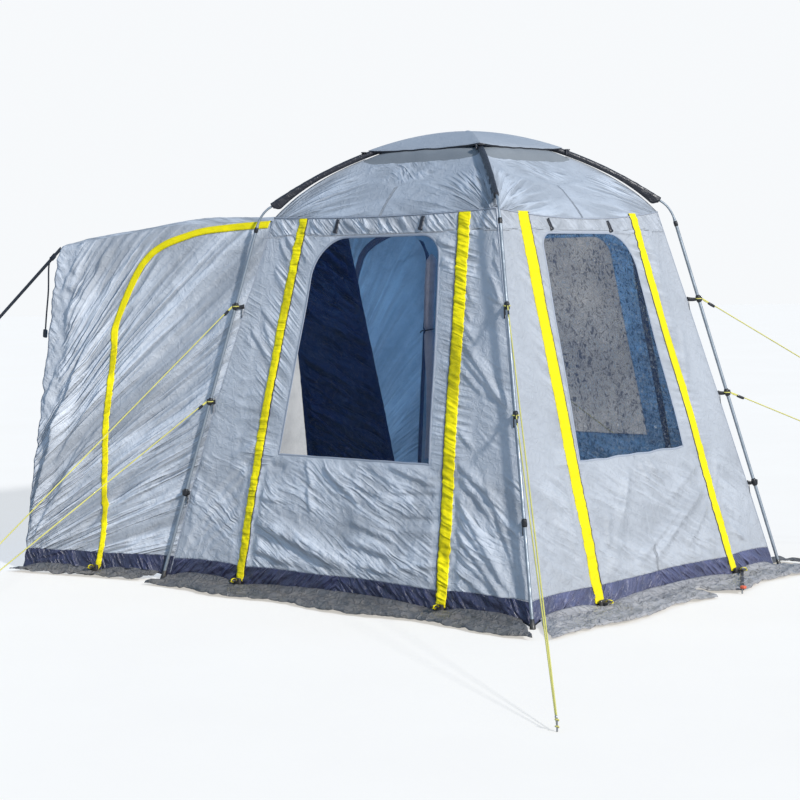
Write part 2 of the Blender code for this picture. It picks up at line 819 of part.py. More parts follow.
def main():
    """Clear the scene and build every piece of the awning."""
    for item in list(bpy.data.objects):
        bpy.data.objects.remove(item, do_unlink=True)
    fabric = make_material("pale_grey_cloth", (0.50, 0.53, 0.60), 0.75)
    roof = make_material("pale_blue_roof_cloth", (0.50, 0.56, 0.68), 0.7)
    navy = make_material("navy_cloth", (0.05, 0.06, 0.16), 0.8)
    yellow = make_material("yellow_cloth", (0.90, 0.85, 0.02), 0.7)
    grey = make_material("grey_skirt_sheet", (0.28, 0.28, 0.29), 0.5)
    steel = make_material("leg_steel", (0.62, 0.63, 0.65), 0.3, 1.0)
    black = make_material("black_sleeve_cloth", (0.01, 0.01, 0.015), 0.7)
    mesh = make_material("black_mesh", (0.01, 0.01, 0.01), 0.9)
    clear = make_material("clear_window_film", (0.10, 0.14, 0.20), 0.08)
    for face in ("front", "right", "back"):
        make_window_wall(face, fabric, clear)
        make_band(face, navy)
        make_skirt(face, grey)
        for side in (-1, 1):
            make_zip_cover(face, side, yellow)
    make_doorway_wall(fabric)
    make_door_sheet(navy)
    for face in ("front", "right", "back", "left"):
        make_roof_panel(face, roof)
    make_vent(mesh)
    make_cap(roof)
    make_roof_poles(black)
    for name, (side_x, side_y) in CORNERS.items():
        make_leg(name, side_x, side_y, steel)
        make_guy(name, side_x, side_y, yellow)
    make_tunnel_roof(fabric)
    for name, side in (("front", -1), ("back", 1)):
        make_tunnel_side(name, side, fabric, navy, yellow, grey)
        make_van_strap(name, side, black)


main()
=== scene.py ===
"""Drive-away awning: the looks of a four-legged dome tent with a tunnel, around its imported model.

Every new piece is a surface over two numbers, worked out as whole arrays. A wall is a grid of
metres across and height on a leaning plane, and its folds are metres added outwards from it.
"""

import math

import bmesh
import bpy
import numpy as np
from bpy.props import FloatProperty, FloatVectorProperty, PointerProperty
from bpy.types import Operator, Panel, PropertyGroup
from mathutils import Matrix, Vector


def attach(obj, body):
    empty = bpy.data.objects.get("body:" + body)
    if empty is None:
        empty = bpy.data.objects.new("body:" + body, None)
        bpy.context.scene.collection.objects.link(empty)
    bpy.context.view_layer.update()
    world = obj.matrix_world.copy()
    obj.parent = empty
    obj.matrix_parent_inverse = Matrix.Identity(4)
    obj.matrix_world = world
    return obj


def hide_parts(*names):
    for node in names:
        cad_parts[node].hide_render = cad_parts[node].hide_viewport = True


bl_info = {
    "name": "Drive-away awning",
    "version": (1, 0, 0),
    "blender": (4, 5, 0),
    "location": "3D View > Sidebar > Awning",
    "description": "Cloth, windows, zips, poles and ropes of a dome awning with a tunnel",
    "category": "Add Mesh",
}

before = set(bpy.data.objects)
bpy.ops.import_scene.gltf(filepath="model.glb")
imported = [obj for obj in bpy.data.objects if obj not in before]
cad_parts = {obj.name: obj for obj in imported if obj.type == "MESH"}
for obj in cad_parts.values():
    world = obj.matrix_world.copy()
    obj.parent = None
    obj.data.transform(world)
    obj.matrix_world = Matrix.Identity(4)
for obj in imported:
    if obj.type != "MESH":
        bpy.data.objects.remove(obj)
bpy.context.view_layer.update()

# The tent's frame and fabric box, as the part's source has them, in metres.
TENT_X = 0.17
FOOT_X, FOOT_Y = 1.284, 1.134
TOP_X, TOP_Y = 0.827, 0.765
LEG_TOP_Z = 2.0
POLE_RISE, POLE_POWER = 0.415, 1.9
EAVE_X, EAVE_Y, EAVE_Z = 0.7708, 0.7130, 1.98
BASE_X, BASE_Y = 1.262, 1.108
EAVE_SHARE = 0.932
SLEEVE_END = 0.944
BAND_TOP = 0.12
WINDOW_TOP, WINDOW_BOTTOM = 1.860, 0.715
WINDOW_TOP_SHARE, WINDOW_BOTTOM_SHARE = 0.53, 0.485
ZIP_TOP_SHARE, ZIP_BOTTOM_SHARE = 0.706, 0.556
CLIP_SHARES = (0.24, 0.49, 0.75)
FAR_TOP_X, FAR_BASE_X, FAR_TOP_Y, FAR_BASE_Y = 2.30, 2.20, 1.0, 1.38
TUNNEL_TOP_Z, FAR_TOP_Z, TUNNEL_FLAT = 1.962, 1.862, 0.44
TUNNEL_LENGTH = 1.23
DOOR_TOP, DOOR_ROUND, DOOR_TOP_HALF, DOOR_BASE_HALF = 1.90, 0.20, 0.60, 0.98
DOOR_HEM = 0.017
RIGHT_PEG, LEFT_PEG = (2.56, 2.67), (-0.60, 3.30)
SUN_TOWARDS = (0.857, -0.214, 0.469)
CORNERS = {"front_right": (1, -1), "front_left": (-1, -1), "back_right": (1, 1), "back_left": (-1, 1)}
FACES = {"front": (0, -1, 0), "back": (0, 1, 0), "right": (1, 0, 0), "left": (-1, 0, 0)}
# The faces that have a wall with a window and zip covers.
SEEN_FACES = ("front", "right", "back")
UP = np.array([0.0, 0.0, 1.0])

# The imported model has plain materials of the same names, so the finishes carry this ending.
FINISH = "_finish"
WHITE = (1, 1, 1, 1)
# Height of the cloth's weave in metres.
WEAVE_DEPTH = 0.0004
# Thin folds in the finish, in three sizes: spacing and length in metres, breadth and strength.
DRAWN_LAYERS = ((0.045, 0.16, 0.17, 0.70), (0.018, 0.08, 0.28, 0.28), (0.110, 0.60, 0.07, 0.75))

# Thickness of covers, bands, skirts and flaps, and lengths of sheets as they lie flat.
HEAVY_CLOTH = 0.0012
WALL_LENGTH, COVER_LENGTH, BAND_LENGTH, ROOF_LENGTH = 1.89, 1.99, 0.11, 0.87
FLAP_WIDTH = 0.094

# Zip covers: how far each one's middle stands from the regular line at foot, waist and eave.
STRIP_SHIFTS = {
    ("front", -1): (0.000, -0.015, 0.000),
    ("front", 1): (0.004, -0.008, 0.028),
    ("right", -1): (0.056, 0.046, -0.002),
    ("right", 1): (0.078, 0.010, -0.045),
    ("back", -1): (-0.004, 0.008, -0.028),
    ("back", 1): (0.000, 0.015, 0.000),
}

# Creases on the walls: from (across, height) to (across, height) in millimetres, then the fold's
# width in millimetres and its height in tenths of one. The steep side of a fold is on its left.
FRONT_CREASES = (
    (-722, 1972, -589, 1789, 9, 50), (-706, 1856, -611, 1728, 9, 45), (-644, 1956, -589, 1878, 8, 30),
    (-711, 1689, -622, 1589, 9, 40), (-778, 1494, -644, 1372, 9, 45), (-833, 1383, -683, 1217, 10, 60),
    (-744, 1411, -678, 1289, 9, 40), (-867, 1333, -800, 1267, 9, 30), (-880, 1100, -690, 1115, 9, 25),
    (-890, 1022, -690, 1033, 9, 25), (-900, 967, -700, 940, 9, 30), (-880, 890, -690, 900, 9, 30),
    (-533, 1789, -472, 1728, 8, 40), (-500, 1955, -365, 1875, 9, 45), (-440, 1965, -330, 1890, 9, 35),
    (-265, 1960, -125, 1885, 9, 45), (-150, 1952, -20, 1880, 9, 45), (0, 1945, 45, 1885, 8, 35),
    (58, 1952, 122, 1885, 8, 40), (142, 1950, 215, 1890, 8, 35), (300, 1892, 445, 1925, 8, 40),
    (330, 1950, 350, 1905, 8, 40), (411, 1833, 520, 1794, 11, 60), (450, 1720, 530, 1690, 9, 50),
    (630, 1590, 680, 1530, 9, 35), (640, 1480, 690, 1425, 9, 35), (644, 1400, 740, 1320, 9, 40),
    (650, 1335, 990, 1000, 12, 80), (665, 1250, 960, 1020, 11, 60), (670, 1180, 830, 1060, 10, 45),
    (760, 1650, 880, 1515, 10, 60), (790, 1740, 858, 1620, 8, 45), (775, 1840, 845, 1690, 8, 40),
    (760, 1560, 885, 1505, 10, 45), (700, 740, 1020, 525, 12, 80), (720, 678, 967, 478, 12, 65),
    (690, 890, 800, 800, 10, 45), (700, 600, 1100, 170, 14, 90), (720, 500, 1140, 120, 13, 80),
    (730, 420, 1150, 60, 13, 80), (740, 330, 1160, 50, 12, 60), (745, 240, 1120, 45, 12, 60),
    (860, 720, 1160, 200, 12, 45), (1180, 480, 1200, 110, 10, 40), (-644, 380, 60, 165, 26, 170),
    (-633, 222, -330, 160, 16, 90), (-189, 678, 10, 544, 13, 80), (-140, 680, -20, 610, 9, 40),
    (-320, 690, -250, 540, 9, 40), (-290, 560, -230, 420, 10, 45), (0, 560, 90, 500, 10, 50),
    (120, 690, 330, 600, 10, 50), (250, 700, 600, 610, 11, 60), (380, 700, 610, 640, 9, 45),
    (20, 610, 300, 520, 12, 50), (240, 545, 620, 572, 10, -50), (300, 440, 630, 450, 10, -50),
    (330, 380, 640, 400, 12, 50), (20, 420, 360, 330, 20, 80), (0, 310, 400, 250, 18, 80),
    (330, 190, 660, 240, 12, 60), (100, 200, 400, 165, 14, 60), (-1133, 222, -715, 620, 20, -70),
    (-1156, 156, -715, 500, 20, -70), (-1090, 150, -725, 385, 18, -70), (-1000, 145, -735, 300, 16, -60),
    (-1020, 420, -700, 720, 16, -50), (-900, 780, -690, 830, 10, 40), (-880, 690, -695, 770, 10, 40),
    (-1165, 500, -1080, 830, 10, 35), (-1150, 520, -1050, 700, 9, 35), (-1140, 300, -1070, 560, 10, 30),
    (-600, 650, -470, 640, 14, -60), (-620, 500, -480, 470, 14, 60),
)
RIGHT_CREASES = (
    (-67, 167, 600, 520, 15, 100), (-250, 160, 520, 500, 14, 70), (300, 215, 580, 420, 12, 70),
    (150, 440, 600, 640, 12, 50), (-450, 130, -80, 660, 24, 90), (-400, 283, -330, 470, 14, 60),
    (-250, 420, -100, 640, 16, 60), (120, 640, 200, 560, 9, 50), (30, 680, 80, 560, 9, 50),
    (100, 690, 170, 610, 9, 50), (-820, 640, -600, 180, 18, 50), (-760, 640, -590, 250, 14, 45),
    (-700, 600, -585, 330, 12, 40), (-1000, 350, -750, 160, 14, 40), (690, 330, 850, 180, 10, 50),
    (690, 420, 760, 350, 10, 40), (680, 480, 770, 640, 12, 40), (700, 260, 900, 170, 10, 40),
    (610, 1000, 700, 1380, 14, 40), (-290, 1870, -200, 1930, 8, 35), (-300, 1875, -400, 1930, 8, 35),
    (225, 1870, 330, 1930, 8, 35), (230, 1865, 400, 1860, 8, 35), (360, 1850, 450, 1880, 8, 35),
    (390, 1800, 460, 1820, 8, 35), (400, 1760, 470, 1770, 8, 35), (-900, 1950, -880, 1500, 14, 30),
    (560, 1900, 620, 1300, 16, 30),
)
# Creases on the tunnel's sides: across is minus the millimetres from the tent.
TUNNEL_CREASES = (
    (-120, 1800, -480, 1650, 20, -60), (-150, 1700, -480, 1370, 20, -90), (-190, 1560, -700, 940, 22, -100),
    (-170, 1450, -520, 1120, 14, -60), (-180, 1300, -480, 900, 18, -80), (-150, 1180, -600, 700, 18, -90),
    (-200, 980, -550, 710, 16, -80), (-200, 870, -850, 150, 18, -80), (-450, 540, -900, 160, 16, -80),
    (-190, 450, -720, 230, 14, -70), (-175, 360, -880, 140, 14, -70), (-180, 300, -480, 140, 12, -60),
    (-150, 250, -400, 130, 12, -50), (-560, 1830, -730, 1430, 9, 50), (-710, 1840, -900, 1590, 12, 80),
    (-800, 1850, -945, 1580, 12, 70), (-900, 1840, -1080, 1400, 14, 120), (-790, 1563, -990, 1170, 12, 120),
    (-970, 1210, -1100, 720, 16, 220), (-1040, 980, -1205, 200, 18, 270), (-760, 1120, -1110, 500, 18, 130),
    (-760, 830, -1180, 160, 18, 140), (-840, 800, -1000, 500, 14, 80), (-700, 1560, -860, 1250, 14, 60),
    (-1000, 1700, -1130, 1350, 18, 140), (-1080, 1800, -1180, 1560, 16, 120),
    (-640, 1940, -720, 1830, 10, 50), (-720, 1940, -800, 1820, 10, 50), (-860, 1920, -980, 1720, 12, 60),
    (-1060, 1650, -1140, 1600, 12, 80), (-1070, 1560, -1130, 1450, 14, 100),
    (-1110, 1200, -1210, 880, 18, 140), (-930, 1360, -1030, 1050, 10, 70),
    (-420, 1300, -620, 1060, 12, -50),
)
# Creases on the roof: millimetres across a panel, and up it from its eave.
ROOF_CREASES = (
    (-700, 40, -370, 320, 16, 60), (-620, 30, -330, 300, 14, 50), (-560, 20, -300, 340, 12, 40),
    (-300, 360, -290, 260, 10, 40), (700, 40, 380, 300, 16, 60), (120, 30, 200, 140, 9, 35),
    (240, 30, 330, 150, 9, 35), (340, 20, 430, 120, 9, 30), (-180, 220, 20, 120, 14, 50),
    (-280, 200, -40, 160, 10, 30),
)
WALL_CREASES = {"front": FRONT_CREASES, "right": RIGHT_CREASES, "back": FRONT_CREASES}
# Radii of each window's upper corners, left and right as seen from outside.
WINDOW_ROUNDS = {"front": (0.21, 0.11), "right": (0.08, 0.20), "back": (0.11, 0.21)}
# How far each window's lower edge waves up and down.
SILL_WAVES = {"front": 0.003, "right": 0.010, "back": 0.003}
# Height of the tie round the rolled blind.
BLIND_TIE = 1.378
# Shares of the way from the crossing to the eave: the cap's hem and ties, and the vent's edge.
CAP_EDGE, CAP_TIE, VENT_EDGE = 0.5064, 0.53, 0.5909
# Metres from the right wall's middle to the notch in its skirt.
SKIRT_NOTCH = 0.13
# A leg's foot: height and radius of its rings.
FOOT_PROFILE = ((0.0, 0.0140), (0.003, 0.0148), (0.020, 0.0140), (0.026, 0.0118), (0.045, 0.0104),
                (0.047, 0.0092))
# Guy ropes: metres between the rings of a rope, and from the clip to its tensioner.
ROPE_STEP, ROPE_DOUBLED = 0.0045, 0.050
# How far the eave seam sags between two legs.
EAVE_SAG = {"front": 0.018, "back": 0.018, "right": 0.045, "left": 0.010}
# Where the hem is pegged down, in metres across a wall.
HEM_PEGS = {"front": (-1.25, -0.71, 0.70, 1.25), "right": (-1.10, -0.555, 0.69, 1.10),
            "back": (-1.25, -0.70, 0.71, 1.25)}
# Zip covers: how much wider each one is than the regular width.
STRIP_EXTRA = {("front", -1): -0.006, ("front", 1): 0.007, ("right", -1): 0.017, ("right", 1): -0.003,
               ("back", -1): 0.007, ("back", 1): -0.006}
# Toggles that hold up the rolled curtains: across and height of both ends.
TOGGLES = {"front": ((-0.289, -0.306, 1.956, 1.885), (0.306, 0.294, 1.956, 1.885)),
           "right": ((-0.308, -0.290, 1.933, 1.875), (0.208, 0.225, 1.925, 1.867)),
           "back": ((0.289, 0.306, 1.956, 1.885), (-0.306, -0.294, 1.956, 1.885))}
# The arched zip of a tunnel side: share of the way to its far end, and height.
TUNNEL_ZIP = ((0.02, 1.948), (0.19, 1.936), (0.36, 1.90), (0.535, 1.77), (0.629, 1.43), (0.622, 1.25),
              (0.609, 1.05), (0.598, 0.85), (0.542, 0.50), (0.508, 0.33), (0.488, 0.17), (0.486, 0.010))


def mix(start, end, share):
    return start + (end - start) * share


def column(start, end, count):
    return np.linspace(start, end, count)[:, None]


def row_of(start, end, count):
    return np.linspace(start, end, count)[None, :]


def smooth(share):
    """0 before 0 and 1 after 1, with a soft S between."""
    t = np.clip(share, 0.0, 1.0)
    return t * t * (3.0 - 2.0 * t)


def lattice(i, j, seed):
    """A fixed value from -1 to 1 for each pair of whole numbers, by integer hashing."""
    h = (i.astype(np.int64) * 374761393 + j.astype(np.int64) * 668265263 + seed * 144269504) & 0xFFFFFFFF
    h = ((h ^ (h >> 13)) * 1274126177) & 0xFFFFFFFF
    return (h ^ (h >> 16)) / 2147483647.5 - 1.0


def noise(x, y, seed):
    """Gradient noise from about -1 to 1: slopes at whole numbers, blended between them."""
    x, y = np.broadcast_arrays(x, y)
    i, j = np.floor(x), np.floor(y)
    f, g = x - i, y - j
    parts = []
    for b in (0, 1):
        row = []
        for a in (0, 1):
            turn = math.pi * lattice(i + a, j + b, seed)
            row.append(np.cos(turn) * (f - a) + np.sin(turn) * (g - b))
        parts.append(mix(row[0], row[1], smooth(f)))
    return 1.5 * mix(parts[0], parts[1], smooth(g))


def crumple(x, y, seed):
    """Sharp ridges of two sizes, where turned noise crosses zero."""
    big = 1.0 - 2.0 * np.abs(noise(0.8 * x + 0.6 * y, 0.8 * y - 0.6 * x, seed))
    small = 1.0 - 2.0 * np.abs(noise(1.9 * x - 0.9 * y, 1.9 * y + 0.9 * x, seed + 7))
    return 0.7 * big + 0.3 * small


def creases(x, z, rows):
    """Sum of folds along straight lines, each steep on its left and gentle on its right."""
    total = np.zeros(np.broadcast(x, z).shape)
    for *ends, width, tenths in rows:
        height = tenths / 10.0
        x0, z0, x1, z1 = (end / 1000.0 for end in ends)
        if z1 > z0:
            x0, z0, x1, z1 = x1, z1, x0, z0
        dx, dz = x1 - x0, z1 - z0
        length = math.hypot(dx, dz)
        t = ((x - x0) * dx + (z - z0) * dz) / length**2
        wander = 0.25 * width * noise(3.0 * t, 0.0 * t + width, int(7 * height) + 50)
        s = 1000.0 * ((x - x0) * dz - (z - z0) * dx) / length + wander
        body = np.exp(-((s / np.where(s > 0.0, width, 2.3 * width)) ** 2))
        total += height / 1000.0 * body * smooth((t + 0.08) / 0.3) * smooth((1.08 - t) / 0.35)
    return total


def half_x(z):
    return mix(BASE_X, EAVE_X, z / EAVE_Z)


def half_y(z):
    return mix(BASE_Y, EAVE_Y, z / EAVE_Z)


def face_half(face, z):
    return half_x(z) if face in ("front", "back") else half_y(z)


def on_face(face, across, z, out):
    """Points on a wall from metres across its middle, height, and metres outwards."""
    across, z, out = np.broadcast_arrays(across, z, out)
    if face == "front":
        return np.stack([TENT_X + across, -half_y(z) - out, z], -1)
    if face == "back":
        return np.stack([TENT_X - across, half_y(z) + out, z], -1)
    if face == "right":
        return np.stack([TENT_X + half_x(z) + out, across, z], -1)
    return np.stack([TENT_X - half_x(z) - out, -across, z], -1)


def corner_pull(face, across, z):
    """How far the clips draw the corner seam out: most at the clips, none at eave and ground."""
    tunnel_half = (face == "front") * (across < 0) + (face == "back") * (across > 0) + (face == "left")
    rise = np.sin(math.pi * np.clip(z / EAVE_Z, 0.0, 1.0))
    at_clips = sum(np.exp(-(((z - share * LEG_TOP_Z) / 0.07) ** 2)) for share in CLIP_SHARES)
    return np.where(tunnel_half > 0, 0.013, 0.003) * (rise + 0.25 * at_clips * (rise > 0.05))


def strip_middle(face, side, z):
    """A zip cover's middle line: a share of the half width, shifted by a curve through three marks."""
    t = z / EAVE_Z
    regular = side * mix(ZIP_BOTTOM_SHARE, ZIP_TOP_SHARE, t) * face_half(face, z)
    low, middle, high = STRIP_SHIFTS[(face, side)]
    shift = low * (1 - t) * (1 - 2 * t) + 4 * middle * t * (1 - t) + high * t * (2 * t - 1)
    return regular + shift


def window_half(face, z, side):
    """Half the window's width at a height on the left (-1) or right (1), straight on above and below."""
    top = WINDOW_TOP_SHARE * face_half(face, WINDOW_TOP)
    bottom = WINDOW_BOTTOM_SHARE * face_half(face, WINDOW_BOTTOM)
    straight = mix(bottom, top, (z - WINDOW_BOTTOM) / (WINDOW_TOP - WINDOW_BOTTOM))
    radius = WINDOW_ROUNDS[face][side > 0]
    rise = np.clip((z - (WINDOW_TOP - radius)) / radius, 0.0, 1.0)
    return straight - radius * (1.0 - np.sqrt(np.maximum(0.0, 1.0 - rise**2)))


def sill_shift(face, x, z):
    """The window's lower edge waves: noise along it, fading with the height away from it."""
    near = np.exp(-(((z - WINDOW_BOTTOM) / 0.07) ** 2))
    return SILL_WAVES[face] * noise(x / 0.15, 0.0 * x + 2.3, 84) * near


def pucker(face, x, z, amount):
    """Gathers each side of the zip covers: noise drawn out sideways, fading with the distance."""
    total = 0.0
    for side in (-1, 1):
        away = x - strip_middle(face, side, z)
        q = np.maximum(0.0, np.abs(away) - 0.028)
        inner = away * side < 0
        tilt = np.where(inner, 0.75, 0.65) * smooth((z - 1.05) / 0.3) * np.sign(away)
        if face == "right":
            tilt = 0.15 * tilt
        if side > 0:
            tilt = np.where(inner, 0.10, tilt)
        reach = np.where(inner, 0.055, 0.042)
        seed = 11 + side + 5 * (face == "right")
        wave = noise((z + tilt * q) / 0.030, q / 0.16, seed)
        wave = wave + 0.5 * noise((z + tilt * q) / 0.017, q / 0.10, seed + 3)
        calm = 0.55 + 0.45 * noise(z / 0.22, side * 3.1, seed + 9)
        total = total + amount * calm * wave * np.exp(-q / reach) * smooth(q / 0.006 + 0.4)
    return total


def header_gathers(x, z):
    """Slanting gathers in the narrow strip of cloth between window and eave."""
    where = smooth((z - WINDOW_TOP - 0.004) / 0.02) * smooth((EAVE_Z - 0.004 - z) / 0.02)
    return where * noise((x + 1.0 * (z - 1.9)) / 0.045, (z + x) / 0.2, 31)


def corner_fan(x, z, corner_x, corner_z, seed, spread):
    """Folds that run out from a point: noise in the angle round it, drawn out along the radius."""
    r = np.hypot(x - corner_x, z - corner_z)
    angle = np.arctan2(z - corner_z, x - corner_x)
    wave = noise(angle * 9.0, r / 0.45, seed) + 0.5 * noise(angle * 19.0, r / 0.30, seed + 5)
    return wave * smooth(r / 0.10) * np.exp(-((r / spread) ** 2)) * np.minimum(1.0, r / 0.25)


def eave_z(face, share):
    """Height of the eave seam, sagging between the legs by a parabola of the share across."""
    return EAVE_Z - EAVE_SAG[face] * (1.0 - share**2)


def hem_lift(face, x):
    """The hem rises between its pegs in flat arches."""
    pegs = HEM_PEGS[face]
    lift = np.zeros(np.shape(x))
    for start, end in zip(pegs, pegs[1:]):
        t = np.clip((x - start) / (end - start), 0.0, 1.0)
        lift = np.maximum(lift, 1.0 - np.abs(2.0 * t - 1.0) ** 3)
    return lift


def hem_z(face, x):
    return 0.008 + 0.036 * hem_lift(face, x)


def band_top_z(face, x):
    return BAND_TOP - 0.006 + 0.010 * hem_lift(face, x) + 0.005 * noise(x / 0.35, x * 0.0, 61)


def free_share(face, x, z):
    """0 at a wall's seams, where the cloth is held, and 1 away from them."""
    half = face_half(face, z)
    return smooth((half - np.abs(x)) / 0.035) * smooth((eave_z(face, x / half) - z) / 0.02)


def seam_pull(face, x, z):
    """The pull of the corner seams, fading towards the wall's middle."""
    return corner_pull(face, x, z) * smooth((np.abs(x) - face_half(face, z) + 0.30) / 0.30)


def belly(face, x, z):
    """Slow swell of a wall that windows, hems and strips share."""
    u = -x if face == "back" else x
    slow = 0.007 * noise(u / 0.55 + 3.0, z / 0.6, 3) + 0.004 * noise(u / 0.23, z / 0.30 + 1.5, 4)
    swag = noise((z + 0.28 * u) / 0.13, (u - 0.3 * z) / 0.75, 5) * smooth((0.74 - z) / 0.08)
    slow = slow + 0.006 * swag * (0.5 if face == "right" else 1.0)
    return slow * free_share(face, x, z) * smooth(z / 0.05)


def wall_out(face, x, z, depth):
    """Metres a wall's cloth stands out: its belly, fans, gathers, listed creases and crumples."""
    u = -x if face == "back" else x
    like = "right" if face == "right" else "front"
    beside = np.maximum(x - window_half(face, z, 1), -x - window_half(face, z, -1))
    outside = np.maximum(beside, np.maximum(z - WINDOW_TOP, WINDOW_BOTTOM - z))
    calm = 0.6 if like == "right" else 1.0
    low = smooth((0.75 - z) / 0.15)
    foot_x = np.sign(u) * (face_half(face, 0.0) - 0.04)
    detail = pucker(like, u, z, 0.0060 * calm) + 0.0034 * calm * header_gathers(u, z)
    detail = detail + 1.9 * creases(u, z, WALL_CREASES[face])
    detail = detail + 0.0040 * calm * corner_fan(u, z, foot_x, 0.03, 21, 0.55)
    detail = detail + 0.0030 * corner_fan(u, z, np.sign(u) * face_half(face, 1.97), 1.97, 22, 0.40)
    detail = detail + 0.0030 * crumple(u / 0.085, z / 0.075, 41) * (0.35 + 0.9 * low)
    detail = detail + 0.0013 * noise(u / 0.030, z / 0.028, 43) * (0.4 + low)
    fold = detail * free_share(face, x, z) * smooth(outside / 0.020) * (0.4 + 0.6 * smooth(z / 0.05))
    return depth * (belly(face, x, z) + fold) + seam_pull(face, x, z)


def strongest(*fields):
    """Of several (across, along, height) fields, the highest at each point, calm where two meet."""
    fields = [np.broadcast_arrays(*field) for field in fields]
    heights = np.stack([field[2] for field in fields])
    best = np.argmax(heights, 0)
    first, second = np.sort(heights, 0)[::-1][:2]
    calm = smooth((first - second) / np.maximum(0.35 * first, 1e-9) - 0.15)
    return np.choose(best, [f[0] for f in fields]), np.choose(best, [f[1] for f in fields]), first * calm


def wall_drawn(face, x, z):
    """Thin folds of a wall: level by the zip covers, slanting over the window, fanned at the feet."""
    u = -x if face == "back" else x
    like = "right" if face == "right" else "front"
    gain = 0.8 if like == "right" else 1.5
    fields = []
    for side in (-1, 1):
        away = u - strip_middle(like, side, z)
        q = np.maximum(0.0, np.abs(away) - 0.03)
        tilt = (0.75 if side < 0 else 0.25) * np.sign(away) * smooth((z - 0.6) / 0.6)
        tilt = tilt - 0.5 * smooth((0.7 - z) / 0.4)
        fields.append((z + tilt * q, 0.35 * q + 3.0 * side, gain * 0.0050 * np.exp(-q / 0.085)))
    inside = (z > WINDOW_TOP) * smooth((z - WINDOW_TOP) / 0.03)
    fields.append((u + 1.1 * (z - 1.9), 0.5 * (z - u) + 9.0, gain * 0.0042 * inside))
    corner_x = np.sign(u) * (face_half(face, 0.0) + 0.10)
    for corner_z, height, spread in ((-0.05, 0.0040, 0.75), (2.05, 0.0026, 0.40)):
        r = np.hypot(u - corner_x, z - corner_z)
        angle = np.arctan2(z - corner_z, np.abs(u - corner_x))
        fields.append((angle * 0.55 + 5.0, 0.4 * r, gain * height * np.exp(-((r / spread) ** 2))))
        corner_x = np.sign(u) * (face_half(face, EAVE_Z) + 0.05)
    low = smooth((0.72 - z) / 0.1)
    warp = (0.02 if like == "right" else 0.045) * noise(u / 0.34, z / 0.28, 85)
    fields.append((0.5 * u + z + 2.0 + warp, 0.5 * u - 0.3 * z, gain * (0.0012 + 0.0022 * low) + 0.0 * u))
    return strongest(*fields)


def tunnel_drawn(along, z, strength):
    """Thin folds of a tunnel side, fanned from a point outside its lower far corner."""
    x = 1.85 - along * TUNNEL_LENGTH
    r = np.hypot(x, z + 0.2)
    angle = np.arctan2(z + 0.2, x)
    ruffle = smooth((along - 0.78) / 0.2) * smooth((z - 0.6) / 0.4)
    across, length, height = strongest(
        (angle * 1.9, 0.20 * r, 0.0105 + 0.0040 * smooth((along - 0.45) / 0.3) + 0.0 * z),
        (z + 0.9 * x + 0.02 * noise(x / 0.1, z / 0.1, 79), 0.8 * (x - z), 0.0170 * ruffle))
    calm = 1.0 - 0.5 * smooth((0.50 - along) / 0.2) * smooth((z - 0.8) / 0.4)
    return across, length, strength * calm * height


def band_drawn(x, z):
    """Thin folds of a ground band, slanting down and outwards, in bundles of differing depth."""
    lean = 1.1 + 0.5 * noise(x / 0.4, 0.0 * x, 63)
    return (0.75 * (z * lean + np.abs(x)), 0.5 * (np.abs(x) - z), 0.0150 + 0.0 * z)


def wall_points(face, x, z, out):
    """Points of a wall's cloth, with its ends drawn out to the pulled corner seams."""
    return on_face(face, x + np.sign(x) * seam_pull(face, x, z), z, out)


def along_axis(*parts):
    """Values from first to last mark, with a given step between each pair of marks."""
    pieces = []
    for start, end, step in parts:
        count = max(1, int(round(abs(end - start) / step)))
        pieces.append(np.linspace(start, end, count + 1)[:-1])
    return np.concatenate(pieces + [[parts[-1][1]]])


